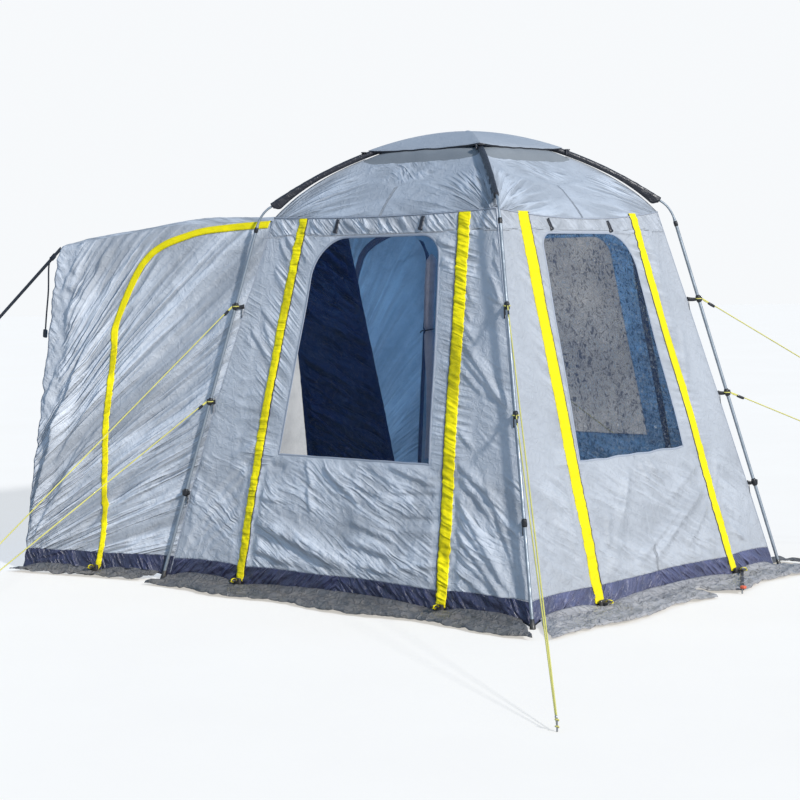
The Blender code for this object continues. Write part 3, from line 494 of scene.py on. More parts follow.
def make_mesh(name, grids, uvs=None, closed=(False, False), keep=None, facing=None, drawn=None):
    """One mesh from one or more grids of points; facing turns the faces towards a direction.

    drawn holds, for each point, metres across and along the thin folds there, and their height.
    """
    vertices, quads, corners = [], [], []
    first = 0
    turned = False
    for number, grid in enumerate(grids):
        uv = None if uvs is None else uvs[number]
        if facing is not None:
            a = (grid[1:, :-1] - grid[:-1, :-1]).reshape(-1, 3)
            b = (grid[:-1, 1:] - grid[:-1, :-1]).reshape(-1, 3)
            if np.cross(b, a).sum(0) @ np.array(facing, float) < 0:
                grid = grid[:, ::-1]
                turned = True
                uv = None if uv is None else uv[:, ::-1]
                keep = None if keep is None else keep[:, ::-1]
        rows, columns = grid.shape[:2]
        index = np.arange(rows * columns).reshape(rows, columns) + first
        if closed[0]:
            index = np.vstack([index, index[:1]])
        if closed[1]:
            index = np.hstack([index, index[:, :1]])
        made = np.stack([index[:-1, :-1], index[:-1, 1:], index[1:, 1:], index[1:, :-1]], -1)
        made = made.reshape(-1, 4) if keep is None else made[keep]
        vertices.append(grid.reshape(-1, 3))
        quads.append(made)
        if uv is not None:
            corners.append(uv.reshape(-1, 2)[made.ravel() - first])
        first += rows * columns
    vertices = np.concatenate(vertices)
    quads = np.concatenate(quads)
    used, back = np.unique(quads, return_inverse=True)
    vertices, quads = vertices[used], back.reshape(quads.shape)
    mesh = bpy.data.meshes.new(name)
    mesh.vertices.add(len(vertices))
    mesh.vertices.foreach_set("co", vertices.astype(np.float32).ravel())
    mesh.loops.add(quads.size)
    mesh.loops.foreach_set("vertex_index", quads.astype(np.int32).ravel())
    mesh.polygons.add(len(quads))
    mesh.polygons.foreach_set("loop_start", np.arange(0, quads.size, 4, dtype=np.int32))
    mesh.update(calc_edges=True)
    if corners:
        layer = mesh.uv_layers.new(name="cloth")
        layer.uv.foreach_set("vector", np.concatenate(corners).astype(np.float32).ravel())
    if drawn is not None:
        field = np.stack(np.broadcast_arrays(*drawn), -1)
        field = (field[:, ::-1] if turned else field).reshape(-1, 3)[used]
        layer = mesh.uv_layers.new(name="drawn")
        layer.uv.foreach_set("vector", field[quads.ravel(), :2].astype(np.float32).ravel())
        depth = mesh.attributes.new("drawn_height", "FLOAT", "POINT")
        depth.data.foreach_set("value", field[:, 2].astype(np.float32))
    mesh.validate()
    mesh.shade_smooth()
    return mesh


def add_piece(name, mesh, material, nodes=(), thickness=0.0):
    """Link a mesh as a piece of the part, with its finish and the solids it stands for."""
    piece = bpy.data.objects.new(name, mesh)
    mesh.materials.append(bpy.data.materials[material + FINISH])
    bpy.context.scene.collection.objects.link(piece)
    if thickness:
        modifier = piece.modifiers.new("Cloth thickness", "SOLIDIFY")
        modifier.thickness = thickness
        modifier.offset = -1.0
    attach(piece, "root")
    if nodes:
        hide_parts(*nodes)
    return piece


def add_sheet(name, points, uv, facing, finish, nodes, thickness=HEAVY_CLOTH, keep=None, drawn=None):
    """A sheet of cloth from one grid of points, with metres across and along it as its UV."""
    mesh = make_mesh(name, [points], [np.stack(np.broadcast_arrays(*uv), -1)], keep=keep, facing=facing,
                     drawn=drawn)
    return add_piece(name, mesh, finish, nodes, thickness)


def fix_normals(piece):
    """Weld a closed shape's ends and turn its faces outwards."""
    bm = bmesh.new()
    bm.from_mesh(piece.data)
    bmesh.ops.remove_doubles(bm, verts=bm.verts, dist=1e-5)
    bmesh.ops.recalc_face_normals(bm, faces=bm.faces)
    bm.to_mesh(piece.data)
    bm.free()


def add_tubes(name, grids, material, nodes=()):
    """One piece of closed tubes, its ends welded and its faces turned outwards."""
    mesh = make_mesh(name, grids, closed=(False, True))
    piece = add_piece(name, mesh, material, nodes)
    fix_normals(piece)
    piece.data.shade_smooth()


def add_webbing(name, grids, nodes=()):
    add_tubes(name, grids, "black_webbing", nodes)


def unit(vectors):
    return vectors / np.maximum(np.linalg.norm(vectors, axis=-1, keepdims=True), 1e-12)


def level_of(direction):
    return unit(np.cross(direction, UP))


def normal_of(face):
    return np.array(FACES[face], float)


def face_frame(face, path):
    """Unit vectors across a path that lies on a wall, and out of the wall."""
    out = np.broadcast_to(normal_of(face), path.shape)
    return unit(np.cross(np.gradient(path, axis=0), out)), out


def lengths(path):
    """Metres along a path at each of its points."""
    return np.concatenate([[0.0], np.cumsum(np.linalg.norm(np.diff(path, axis=0), axis=1))])


def ring_angles(sides):
    return np.linspace(0.0, 2.0 * math.pi, sides, endpoint=False)


def circle(sides):
    """A level ring of unit radius."""
    turn = ring_angles(sides)
    return np.stack([np.cos(turn), np.sin(turn), 0.0 * turn], -1)


def carry(path, side, up, half_width, half_height, sides=8):
    """An oval section carried along a path, its width along side and its height along up."""
    turn = ring_angles(sides)
    count = len(path)
    width = np.broadcast_to(half_width, (count,))[:, None, None]
    height = np.broadcast_to(half_height, (count,))[:, None, None]
    grid = path[:, None] + side[:, None] * np.cos(turn)[None, :, None] * width
    return grid + up[:, None] * np.sin(turn)[None, :, None] * height


def capped(grid):
    """Close both ends of a carried section to a point in its middle."""
    first = np.repeat(grid[:1].mean(1, keepdims=True), grid.shape[1], axis=1)
    last = np.repeat(grid[-1:].mean(1, keepdims=True), grid.shape[1], axis=1)
    return np.concatenate([first, grid, last])


def ribbon(path, side, up, half_width, half_height, sides=10):
    """A flat strap along a path, closed at both ends."""
    return capped(carry(path, side, up, half_width, half_height, sides))


def tube(path, radius, sides=10, twist=None):
    """A round tube along an open path, closed at both ends; twist adds the lay of a rope."""
    tangent = unit(np.gradient(path, axis=0))
    guide = UP if abs(tangent[:, 2]).max() < 0.8 else np.array([0.6, 0.8, 0.0])
    side = unit(np.cross(tangent, guide))
    up = np.cross(side, tangent)
    radius = np.broadcast_to(radius, (len(path),)).astype(float)
    grid = carry(path, side, up, radius, radius, sides)
    if twist is not None:
        turn = ring_angles(sides)
        lay = 1.0 + 0.16 * np.cos(3.0 * turn[None, :] + 2.0 * math.pi * lengths(path)[:, None] / twist)
        grid = path[:, None] + (grid - path[:, None]) * lay[..., None]
    first = np.repeat(path[:1, None], sides, axis=1)
    last = np.repeat(path[-1:, None], sides, axis=1)
    return np.concatenate([first, grid, last])


def curve(points, step):
    """A smooth path through marks, at an even step: each span blends two parabolas."""
    marks = np.array(points, float)
    marks = np.concatenate([2 * marks[:1] - marks[1:2], marks, 2 * marks[-1:] - marks[-2:-1]])
    parts = []
    for a, b, c, d in zip(marks, marks[1:], marks[2:], marks[3:]):
        t = np.linspace(0.0, 1.0, 24, endpoint=False)[:, None]
        bent = (2 * a - 5 * b + 4 * c - d) * t**2 + (3 * b - a - 3 * c + d) * t**3
        parts.append(0.5 * (2 * b + (c - a) * t + bent))
    path = np.concatenate(parts + [marks[-2:-1]])
    length = lengths(path)
    even = np.linspace(0.0, length[-1], max(2, int(length[-1] / step)))
    return np.stack([np.interp(even, length, path[:, k]) for k in range(path.shape[1])], -1)


def pole_z(reach):
    return LEG_TOP_Z + POLE_RISE * (1.0 - np.abs(reach) ** POLE_POWER)


def pole_slope(reach):
    return POLE_RISE * POLE_POWER * np.abs(reach) ** (POLE_POWER - 1.0) / math.hypot(TOP_X, TOP_Y)


def under_pole(share):
    reach = share * EAVE_SHARE
    return pole_z(reach) - 0.0166 * np.hypot(1.0, pole_slope(reach))


def over_pole(share):
    reach = share * EAVE_SHARE
    return pole_z(reach) + 0.0176 * np.hypot(1.0, pole_slope(reach))


def roof_z(share):
    """The roof follows the poles down from the crossing, and drops to the eave at its edge."""
    return under_pole(share) - (under_pole(1.0) - EAVE_Z) * share**8


def leg_point(side_x, side_y, share):
    share = np.asarray(share, float)
    x = TENT_X + side_x * mix(FOOT_X, TOP_X, share)
    return np.stack([x, side_y * mix(FOOT_Y, TOP_Y, share), LEG_TOP_Z * share], -1)


def corner_point(side_x, side_y, z):
    """The tent's corner seam at a height, drawn towards the leg by the clips."""
    face = "front" if side_y < 0 else "back"
    across = side_x if face == "front" else -side_x
    pull = corner_pull(face, np.asarray(across, float), z)
    return np.stack([TENT_X + side_x * (half_x(z) + pull), side_y * (half_y(z) + pull), z + 0.0 * pull], -1)


def tunnel_top(along):
    return mix(TUNNEL_TOP_Z, FAR_TOP_Z, np.maximum(0.0, (along - TUNNEL_FLAT) / (1.0 - TUNNEL_FLAT)))


def tunnel_point(side, along, z, out):
    """Points of a tunnel side: -1 is the front one; along runs from the tent (0) to the far end (1)."""
    along, z, out = np.broadcast_arrays(along, z, out)
    share = z / tunnel_top(along)
    tent_y = mix(BASE_Y, half_y(TUNNEL_TOP_Z), share)
    tent_x = mix(BASE_X, half_x(TUNNEL_TOP_Z), share)
    y = mix(tent_y, mix(FAR_BASE_Y, FAR_TOP_Y, share), along)
    x = mix(tent_x, mix(FAR_BASE_X, FAR_TOP_X, share), along)
    pull = corner_pull("left", 0.0 * z, z) * smooth(1.0 - along / 0.15)
    near_top = np.clip(1.0 - (tunnel_top(along) - z) / 0.09, 0.0, 1.0) ** 2
    y = y + out + pull - 0.016 * near_top
    return np.stack([TENT_X - x - pull, side * y, z - 0.004 * near_top], -1)


def tunnel_out(along, z, depth):
    """Metres a tunnel side's cloth stands out: listed creases, drag folds and a ruffled far edge."""
    x = -along * TUNNEL_LENGTH
    top = tunnel_top(along)
    near_end = smooth((along - 0.80) / 0.2)
    out = 1.6 * creases(x, z, TUNNEL_CREASES) + 0.010 * noise(x / 0.5, z / 0.55, 71)
    drag = (z - 1.15 * x) / 1.5
    steep = noise(drag / 0.060, (x + z) / 0.65, 72) + 0.5 * noise(drag / 0.031, (x + z) / 0.4, 73)
    out = out + 0.0060 * steep * smooth((z - 0.2) / 0.3) + 0.0026 * crumple(x / 0.09, z / 0.08, 74)
    fan = corner_fan(x, z, -1.21, 0.05, 75, 0.85)
    out = out + 0.0110 * fan + 0.0060 * crumple(x / 0.065, z / 0.07, 76) * smooth((along - 0.70) / 0.25)
    gather = noise(z / 0.055 + 1.2 * x / 0.055, x / 0.12, 77)
    out = out + 0.0075 * near_end * gather * smooth((z - 0.5) / 0.5)
    edge = smooth(along / 0.03) * smooth((top - z) / 0.03) * smooth(z / 0.05)
    zip_z, zip_along = np.array(TUNNEL_ZIP[::-1])[:-3, ::-1].T
    beside = (along - np.interp(z, zip_z, zip_along)) * TUNNEL_LENGTH
    held = 1.0 - 0.75 * np.exp(-((beside / 0.06) ** 2)) * smooth((1.75 - z) / 0.1)
    return depth * out * edge * held


def tunnel_hem_z(along):
    t = np.where(along < 0.49, along / 0.49, (along - 0.49) / 0.51)
    return 0.008 + 0.036 * (1.0 - np.abs(2.0 * np.clip(t, 0.0, 1.0) - 1.0) ** 3)


def tunnel_band_z(along):
    return BAND_TOP + 0.004 + 0.006 * noise(along * 3.5, 0.0 * along, 62)


def new_group(name, inputs, outputs):
    """A shader node group: inputs by their defaults (None for a vector), outputs by their names."""
    group = bpy.data.node_groups.new(name, "ShaderNodeTree")
    for label, default in inputs.items():
        kind = "Vector" if default is None else "Color" if isinstance(default, tuple) else "Float"
        socket = group.interface.new_socket(label, in_out="INPUT", socket_type="NodeSocket" + kind)
        if default is not None:
            socket.default_value = default
    for label in outputs:
        kind = "Color" if label == "Color" else "Float"
        group.interface.new_socket(label, in_out="OUTPUT", socket_type="NodeSocket" + kind)
    return group, group.nodes.new("NodeGroupInput").outputs, group.nodes.new("NodeGroupOutput")


def feed(tree, node, values):
    """Give a node its plain values, and its links from other sockets."""
    for key, value in values.items():
        if isinstance(value, bpy.types.NodeSocket):
            tree.links.new(value, node.inputs[key])
        else:
            node.inputs[key].default_value = value
    return node


def add_node(tree, kind, values=None, **settings):
    node = tree.nodes.new("ShaderNode" + kind)
    for key, value in settings.items():
        setattr(node, key, value)
    return feed(tree, node, values or {})


def use_group(tree, name, values):
    return add_node(tree, "Group", values, node_tree=bpy.data.node_groups[name]).outputs


def math_node(tree, operation, first, second=0.5):
    return add_node(tree, "Math", {0: first, 1: second}, operation=operation).outputs[0]


def multiply(tree, first, second):
    return math_node(tree, "MULTIPLY", first, second)


def map_range(tree, value, low, high, start=0.0, end=1.0, kind="LINEAR"):
    """A value carried from one range to another and held at its ends."""
    values = {"Value": value, "From Min": low, "From Max": high, "To Min": start, "To Max": end}
    return add_node(tree, "MapRange", values, interpolation_type=kind).outputs[0]


def noise_node(tree, place, scale, detail, roughness=0.5, distortion=0.0):
    values = {"Vector": place, "Scale": scale, "Detail": detail, "Roughness": roughness,
              "Distortion": distortion}
    return add_node(tree, "TexNoise", values).outputs[0]


def mix_colours(tree, share, first, second):
    return add_node(tree, "Mix", {0: share, 6: first, 7: second}, data_type="RGBA").outputs[2]


def bump_node(tree, height, distance, strength=1.0, **over):
    """A bump of a height in metres; over may hold the normal it lies on."""
    values = {"Height": height, "Distance": distance, "Strength": strength, **over}
    return add_node(tree, "Bump", values).outputs[0]


def middle_away(tree, value):
    """How far a noise is from its middle value."""
    return math_node(tree, "ABSOLUTE", math_node(tree, "SUBTRACT", value, 0.5))


def make_weave_group():
    """Plain weave: two waves at right angles over the cloth's own metres, as height."""
    group, start, end = new_group("Plain weave", {"Vector": None, "Threads": 900.0, "Rib": 0.3}, ["Height"])
    axes = add_node(group, "SeparateXYZ", {0: start["Vector"]}).outputs
    turns = multiply(group, start["Threads"], 2.0 * math.pi)
    warp = math_node(group, "SINE", multiply(group, axes[0], turns))
    weft = math_node(group, "SINE", multiply(group, axes[1], turns))
    both = multiply(group, warp, weft)
    fibre = noise_node(group, start["Vector"], 260.0, 3.0)
    feed(group, end, {"Height": math_node(group, "ADD", multiply(group, both, start["Rib"]), fibre)})


def make_crinkle_group():
    """Small sharp creases in cloth: noise folded at its middle value, over soft lumps."""
    group, start, end = new_group("Crinkle", {"Vector": None, "Size": 20.0, "Sharpness": 0.6},
                                  ["Height", "Mask"])
    away = middle_away(group, noise_node(group, start["Vector"], start["Size"], 4.0, distortion=0.8))
    line = map_range(group, away, 0.0, 0.06, 1.0, 0.0, "SMOOTHSTEP")
    fold = math_node(group, "ADD", multiply(group, away, -1.0), multiply(group, line, 0.16))
    sharp = multiply(group, fold, start["Sharpness"])
    slow = noise_node(group, start["Vector"], multiply(group, start["Size"], 0.31), 2.0)
    feed(group, end, {"Height": math_node(group, "ADD", sharp, multiply(group, slow, 0.5)), "Mask": slow})


def make_drawn_group():
    """Thin creases along a piece's own fold lines: ridges where stretched noise is at its middle.

    Its painted light is a little under 1 in the hollows, as painted shade, and over 1 on the ridges, as
    painted highlight.
    """
    group, start, end = new_group("Drawn folds", {"Vector": None, "Height": 0.0}, ["Height", "Painted light"])
    total = None
    for spacing, length, width, share in DRAWN_LAYERS:
        scale = (1.0 / spacing, 1.0 / length, 1.0)
        place = add_node(group, "Mapping", {"Vector": start["Vector"], "Scale": scale}).outputs[0]
        away = middle_away(group, noise_node(group, place, 1.0, 1.5))
        part = multiply(group, map_range(group, away, 0.0, width, 1.0, 0.0, "SMOOTHERSTEP"), share)
        total = part if total is None else math_node(group, "ADD", total, part)
    slow = noise_node(group, start["Vector"], 5.0, 1.0)
    ridges = multiply(group, total, map_range(group, slow, 0.35, 0.62, 0.25, 1.3))
    # Painted light: the colour is scaled under 1 in the fold hollows as painted shade and over 1 on the
    # ridges as painted highlight.
    worn = map_range(group, ridges, 0.0, 1.3, -0.36, 0.30)
    shade = multiply(group, worn, map_range(group, start["Height"], 0.0, 0.007))
    feed(group, end, {"Height": multiply(group, ridges, start["Height"]),
                      "Painted light": math_node(group, "ADD", shade, 1.0)})


def make_tone_group():
    """Uneven colour: broad sun-faded patches and faint streaks between two tones."""
    group, start, end = new_group("Faded tone", {"Vector": None, "Tone": WHITE, "Faded": WHITE, "Size": 2.0},
                                  ["Color", "Mask"])
    slow = noise_node(group, start["Vector"], start["Size"], 5.0, roughness=0.6)
    spread = map_range(group, slow, 0.35, 0.65)
    feed(group, end, {"Color": mix_colours(group, spread, start["Tone"], start["Faded"]), "Mask": spread})


def make_stitch_group():
    """A row of stitches: dashes along a line at a given distance from the middle of a strip's UV."""
    group, start, end = new_group("Stitch row", {"Vector": None, "Row": 0.006, "Length": 0.005}, ["Mask"])
    axes = add_node(group, "SeparateXYZ", {0: start["Vector"]}).outputs
    away = math_node(group, "SUBTRACT", math_node(group, "ABSOLUTE", axes[0]), start["Row"])
    row = map_range(group, math_node(group, "ABSOLUTE", away), 0.0004, 0.0010, 1.0, 0.0)
    turn = math_node(group, "FRACT", math_node(group, "DIVIDE", axes[1], start["Length"]))
    feed(group, end, {"Mask": multiply(group, row, math_node(group, "LESS_THAN", turn, 0.7))})


def make_dust_group():
    """Splashed soil: strongest at the ground, broken up by noise, gone above a given height."""
    soil = (0.3, 0.27, 0.22, 1)
    group, start, end = new_group(
        "Ground dust", {"Vector": None, "Color": WHITE, "Dust": soil, "Reach": 0.3, "Amount": 0.4},
        ["Color", "Mask"])
    axes = add_node(group, "SeparateXYZ", {0: start["Vector"]}).outputs
    near = map_range(group, axes[2], 0.0, start["Reach"], 1.0, 0.0)
    broken = map_range(group, noise_node(group, start["Vector"], 14.0, 6.0), 0.38, 0.68)
    mask = multiply(group, multiply(group, near, broken), start["Amount"])
    feed(group, end, {"Color": mix_colours(group, mask, start["Color"], start["Dust"]), "Mask": mask})


def tinted(colour, gain):
    return [value * gain for value in colour]


def rgba(colour, gain=1.0):
    return tuple(min(1.0, gain * c) for c in colour) + (1.0,)


def new_finish(name):
    """A finish's tree, its shader and its object coordinates."""
    material = bpy.data.materials.new(name + FINISH)
    material.use_nodes = True
    tree = material.node_tree
    return tree, tree.nodes["Principled BSDF"], add_node(tree, "TexCoord").outputs["Object"]


def make_cloth(name, colour, faded, roughness, size=22.0, depth=0.006, dust=0.25, reach=0.3, sharpness=0.8,
               sheen=0.0, tint=(1, 1, 1), alpha=None, specular=0.5, drawn=False, stitched=False):
    """Woven cloth: faded tone and dust in its colour, weave and crinkles in its height.

    Stitched cloth has a row of darker, sunken stitches beside its edges; drawn cloth reads its folds, with
    painted shade in their hollows and painted highlight on their ridges.
    """
    tree, shader, place = new_finish(name)
    cloth = add_node(tree, "UVMap", uv_map="cloth").outputs[0]
    tone = use_group(tree, "Faded tone",
                     {"Vector": place, "Tone": rgba(colour), "Faded": rgba(faded), "Size": 1.7})
    base = use_group(tree, "Ground dust",
                     {"Vector": place, "Color": tone["Color"], "Amount": dust, "Reach": reach})["Color"]
    relief = use_group(tree, "Plain weave", {"Vector": cloth})["Height"]
    fine = use_group(tree, "Crinkle", {"Vector": place, "Size": size, "Sharpness": sharpness})
    if stitched:
        row = use_group(tree, "Stitch row", {"Vector": cloth})["Mask"]
        base = mix_colours(tree, row, base, rgba(colour, 0.45))
        relief = math_node(tree, "SUBTRACT", relief, multiply(tree, row, 2.0))
    rough = map_range(tree, fine["Mask"], 0.0, 1.0, roughness - 0.06, roughness + 0.10)
    normal = bump_node(tree, relief, WEAVE_DEPTH, 0.6)
    normal = bump_node(tree, fine["Height"], depth, Normal=normal)
    if drawn:
        lines = add_node(tree, "UVMap", uv_map="drawn").outputs[0]
        height = add_node(tree, "Attribute", attribute_name="drawn_height").outputs["Fac"]
        folds = use_group(tree, "Drawn folds", {"Vector": lines, "Height": height})
        normal = bump_node(tree, folds["Height"], 1.0, Normal=normal)
        # Painted shade and highlight: the base colour is scaled down in the fold hollows and up on the
        # ridges.
        base = add_node(tree, "VectorMath", {0: base, "Scale": folds["Painted light"]}, operation="SCALE").outputs[0]
    feed(tree, shader, {"Base Color": base, "Normal": normal, "Roughness": rough, "Sheen Weight": sheen,
                        "Specular IOR Level": specular, "Sheen Tint": rgba(tint)})
    if alpha:
        net = add_node(tree, "TexVoronoi", {"Vector": cloth, "Scale": 420.0}).outputs[0]
        feed(tree, shader, {"Alpha": map_range(tree, net, 0.1, 0.6, alpha, 1.0)})


def make_hard(name, colour, roughness, metallic=0.0, size=60.0, depth=0.0006, coat=0.0, worn=None, dust=0.3):
    """Plastic or metal: uneven tone, fine scratches and soil near the ground."""
    tree, shader, place = new_finish(name)
    faded = rgba(worn) if worn else rgba(colour, 1.25)
    tone = use_group(tree, "Faded tone",
                     {"Vector": place, "Tone": rgba(colour), "Faded": faded, "Size": size * 0.4})
    soiled = use_group(tree, "Ground dust",
                       {"Vector": place, "Color": tone["Color"], "Amount": dust, "Reach": 0.2})
    fine = use_group(tree, "Crinkle", {"Vector": place, "Size": size, "Sharpness": 0.4})
    rough = map_range(tree, tone["Mask"], 0.0, 1.0, roughness * 0.8, roughness * 1.3)
    feed(tree, shader, {"Base Color": soiled["Color"], "Roughness": rough, "Metallic": metallic,
                        "Coat Weight": coat, "Normal": bump_node(tree, fine["Height"], depth, 0.8)})


def make_film(name, colour, clouded, creased):
    """Clear window film: glossy, clouded in patches by handling, with painted reflections as paler lines
    along its fine creases and painted shade as denser film in their hollows.
    """
    tree, shader, place = new_finish(name)
    tone = use_group(tree, "Faded tone",
                     {"Vector": place, "Tone": rgba(colour), "Faded": rgba(colour, 1.7), "Size": 3.0})
    fine = use_group(tree, "Crinkle", {"Vector": place, "Size": 36.0, "Sharpness": 2.4})
    # Painted reflection: a pale grey is mixed into the colour along the crinkles' crests, stronger with
    # creased.
    line = multiply(tree, map_range(tree, fine["Height"], 0.22, 0.62), creased)
    pale = mix_colours(tree, line, tone["Color"], (0.11, 0.14, 0.18, 1.0))
    cloud = map_range(tree, tone["Mask"], 0.0, 1.0, *clouded)
    cloud = math_node(tree, "ADD", cloud, multiply(tree, line, 0.45))
    # Painted shade: the film grows denser in the crinkles' hollows.
    painted_crease_shade = map_range(tree, fine["Height"], 0.16, -0.10, 0.0, 0.45 * creased)
    cover = math_node(tree, "MINIMUM", math_node(tree, "ADD", cloud, painted_crease_shade), 1.0)
    feed(tree, shader, {"Base Color": pale, "Alpha": cover, "Roughness": 0.16,
                        "Specular IOR Level": 0.12 + 0.3 * creased,
                        "Normal": bump_node(tree, fine["Height"], 0.010, 0.9)})


def length_property(name, description, default, least, most):
    return FloatProperty(name=name, description=description, default=default, min=least, max=most,
                         unit="LENGTH")


class AwningSizes(PropertyGroup):
    """Sizes that a user may change before the pieces are made."""

    fold_depth: FloatProperty(
        name="Fold depth", description="Depth of the cloth's folds, as a share of those measured",
        default=1.0, min=0.0, max=2.0)
    pitch: length_property(
        "Cloth pitch", "Distance between the points of the walls that show most", 0.008, 0.004, 0.05)
    far_pitch: length_property(
        "Far cloth pitch", "Distance between the points of the other cloths", 0.011, 0.004, 0.05)
    thickness: length_property(
        "Cloth thickness", "Thickness of the cloth with its coating", 0.0010, 0.0002, 0.004)
    strip_width: length_property(
        "Zip cover width", "Width of the bright covers over the zips", 0.068, 0.03, 0.12)
    skirt_reach: length_property(
        "Skirt reach", "How far the ground skirt lies out from the walls", 0.27, 0.1, 0.4)
    rope_radius: length_property("Rope radius", "Radius of the guy ropes", 0.0031, 0.001, 0.006)
    leg_radius: length_property("Leg radius", "Radius of the steel legs", 0.0090, 0.006, 0.02)


def colour_property(name, description, default):
    return FloatVectorProperty(name=name, description=description, default=default, subtype="COLOR", size=3,
                               min=0.0, max=1.0)


class AwningColours(PropertyGroup):
    """Colours of the awning's finishes."""

    wall: colour_property("Wall cloth", "Pale cool grey of the walls and the tunnel", (0.447, 0.470, 0.506))
    roof: colour_property("Roof cloth", "Slightly bluer cloth of the roof and its cap", (0.415, 0.452, 0.505))
    navy: colour_property("Navy cloth", "Ground bands and draught flaps", (0.011, 0.014, 0.050))
    yellow: colour_property("Zip covers", "Bright covers over the zips", (0.980, 0.820, 0.006))
    skirt: colour_property("Skirt sheet", "Grey sheet lying on the ground", (0.120, 0.117, 0.119))
    webbing: colour_property("Webbing", "Black sleeves, straps and clips", (0.012, 0.012, 0.017))
    steel: colour_property("Leg steel", "Steel legs", (0.380, 0.420, 0.460))
    rope: colour_property("Guy rope", "Yellow guy ropes", (0.740, 0.680, 0.170))
    film: colour_property("Window film", "Tint of the clear windows", (0.005, 0.012, 0.030))


class AWNING_OT_finishes(Operator):
    """Make the shader groups and every finish of the awning"""

    bl_idname = "awning.finishes"
    bl_label = "Finishes"

    def execute(self, context):
        for make_group in (make_weave_group, make_crinkle_group, make_drawn_group, make_tone_group,
                           make_stitch_group, make_dust_group):
            make_group()
        c = context.scene.awning_colours
        glossy = {"size": 26.0, "depth": 0.007, "dust": 0.10, "reach": 0.12, "specular": 1.0, "drawn": True}
        sheet = {"size": 17.0, "depth": 0.020, "reach": 0.05, "sharpness": 1.0, "specular": 0.6}
        make_cloth("wall_cloth", c.wall, tinted(c.wall, 0.93), 0.58, drawn=True)
        # A lighter copy of the wall cloth for the walls and tunnel sides that face away from the sun: painted
        # light.
        make_cloth("painted_light_wall_cloth", tinted(c.wall, 1.25), tinted(c.wall, 1.16), 0.58, drawn=True)
        make_cloth("roof_cloth", c.roof, tinted(c.roof, 0.94), 0.52, dust=0.0, drawn=True)
        make_cloth("cap_cloth", tinted(c.roof, 0.88), tinted(c.roof, 0.82), 0.52, dust=0.0)
        make_cloth("navy_cloth", c.navy, tinted(c.navy, 1.4), 0.42, sheen=0.24, tint=(0.55, 0.55, 0.90),
                   **glossy)
        # A lighter copy of the navy cloth for the right band in the sun: painted light.
        make_cloth("painted_sunlit_navy_cloth", (0.048, 0.054, 0.125), (0.090, 0.098, 0.190), 0.42, sheen=0.30,
                   tint=(0.6, 0.6, 0.9), **glossy)
        make_cloth("door_cloth", (0.002, 0.008, 0.042), (0.004, 0.013, 0.060), 0.45, dust=0.1,
                   specular=0.22, drawn=True)
        make_cloth("blind_cloth", (0.90, 0.84, 0.93), (0.80, 0.75, 0.85), 0.6, dust=0.1)
        make_cloth("yellow_cloth", c.yellow, tinted(c.yellow, 0.95), 0.55, size=40.0, depth=0.003, dust=0.15,
                   reach=0.15, specular=0.2, stitched=True, drawn=True)
        make_cloth("skirt_sheet", c.skirt, tinted(c.skirt, 1.25), 0.42, dust=0.5, **sheet)
        # A lighter copy of the skirt sheet for the right skirt in the sun: painted light.
        make_cloth("painted_sunlit_skirt_sheet", tinted(c.skirt, 2.9), tinted(c.skirt, 3.5), 0.42, dust=0.3,
                   **sheet)
        make_cloth("hem_tape", (0.40, 0.43, 0.49), (0.34, 0.37, 0.43), 0.6, size=50.0, depth=0.001)
        make_cloth("black_webbing", c.webbing, tinted(c.webbing, 1.8), 0.38, size=34.0, depth=0.004, dust=0.0,
                   specular=0.7)
        # The netting's grey is darkened to paint in the shade under the cap.
        make_cloth("vent_netting", (0.24, 0.26, 0.28), (0.19, 0.21, 0.23), 0.75, depth=0.001, dust=0.0,
                   alpha=0.90)
        make_cloth("guy_rope", c.rope, tinted(c.rope, 0.8), 0.65, size=90.0, depth=0.001, dust=0.3,
                   reach=0.25)
        make_film("window_film", c.film, (0.42, 0.60), 0.06)
        make_film("creased_film", c.film, (0.34, 0.52), 1.0)
        make_hard("leg_steel", c.steel, 0.55, metallic=0.8, size=45.0, depth=0.0001, worn=(0.30, 0.34, 0.38))
        make_hard("black_plastic", (0.014, 0.014, 0.016), 0.36, coat=0.2)
        make_hard("peg_steel", (0.50, 0.50, 0.50), 0.34, metallic=1.0, dust=0.8)
        make_hard("peg_head", (0.75, 0.10, 0.03), 0.42, coat=0.2, dust=0.5)
        return {"FINISHED"}


def window_rows(face, pitch):
    """Heights of a wall's rows, closer together where the window's upper corners turn."""
    radius = max(WINDOW_ROUNDS[face])
    turn = np.radians(np.linspace(0.0, 90.0, 33))[:-1]
    straight = along_axis((WINDOW_BOTTOM, WINDOW_TOP - radius, pitch))[:-1]
    return straight, WINDOW_TOP - radius + radius * np.sin(turn)


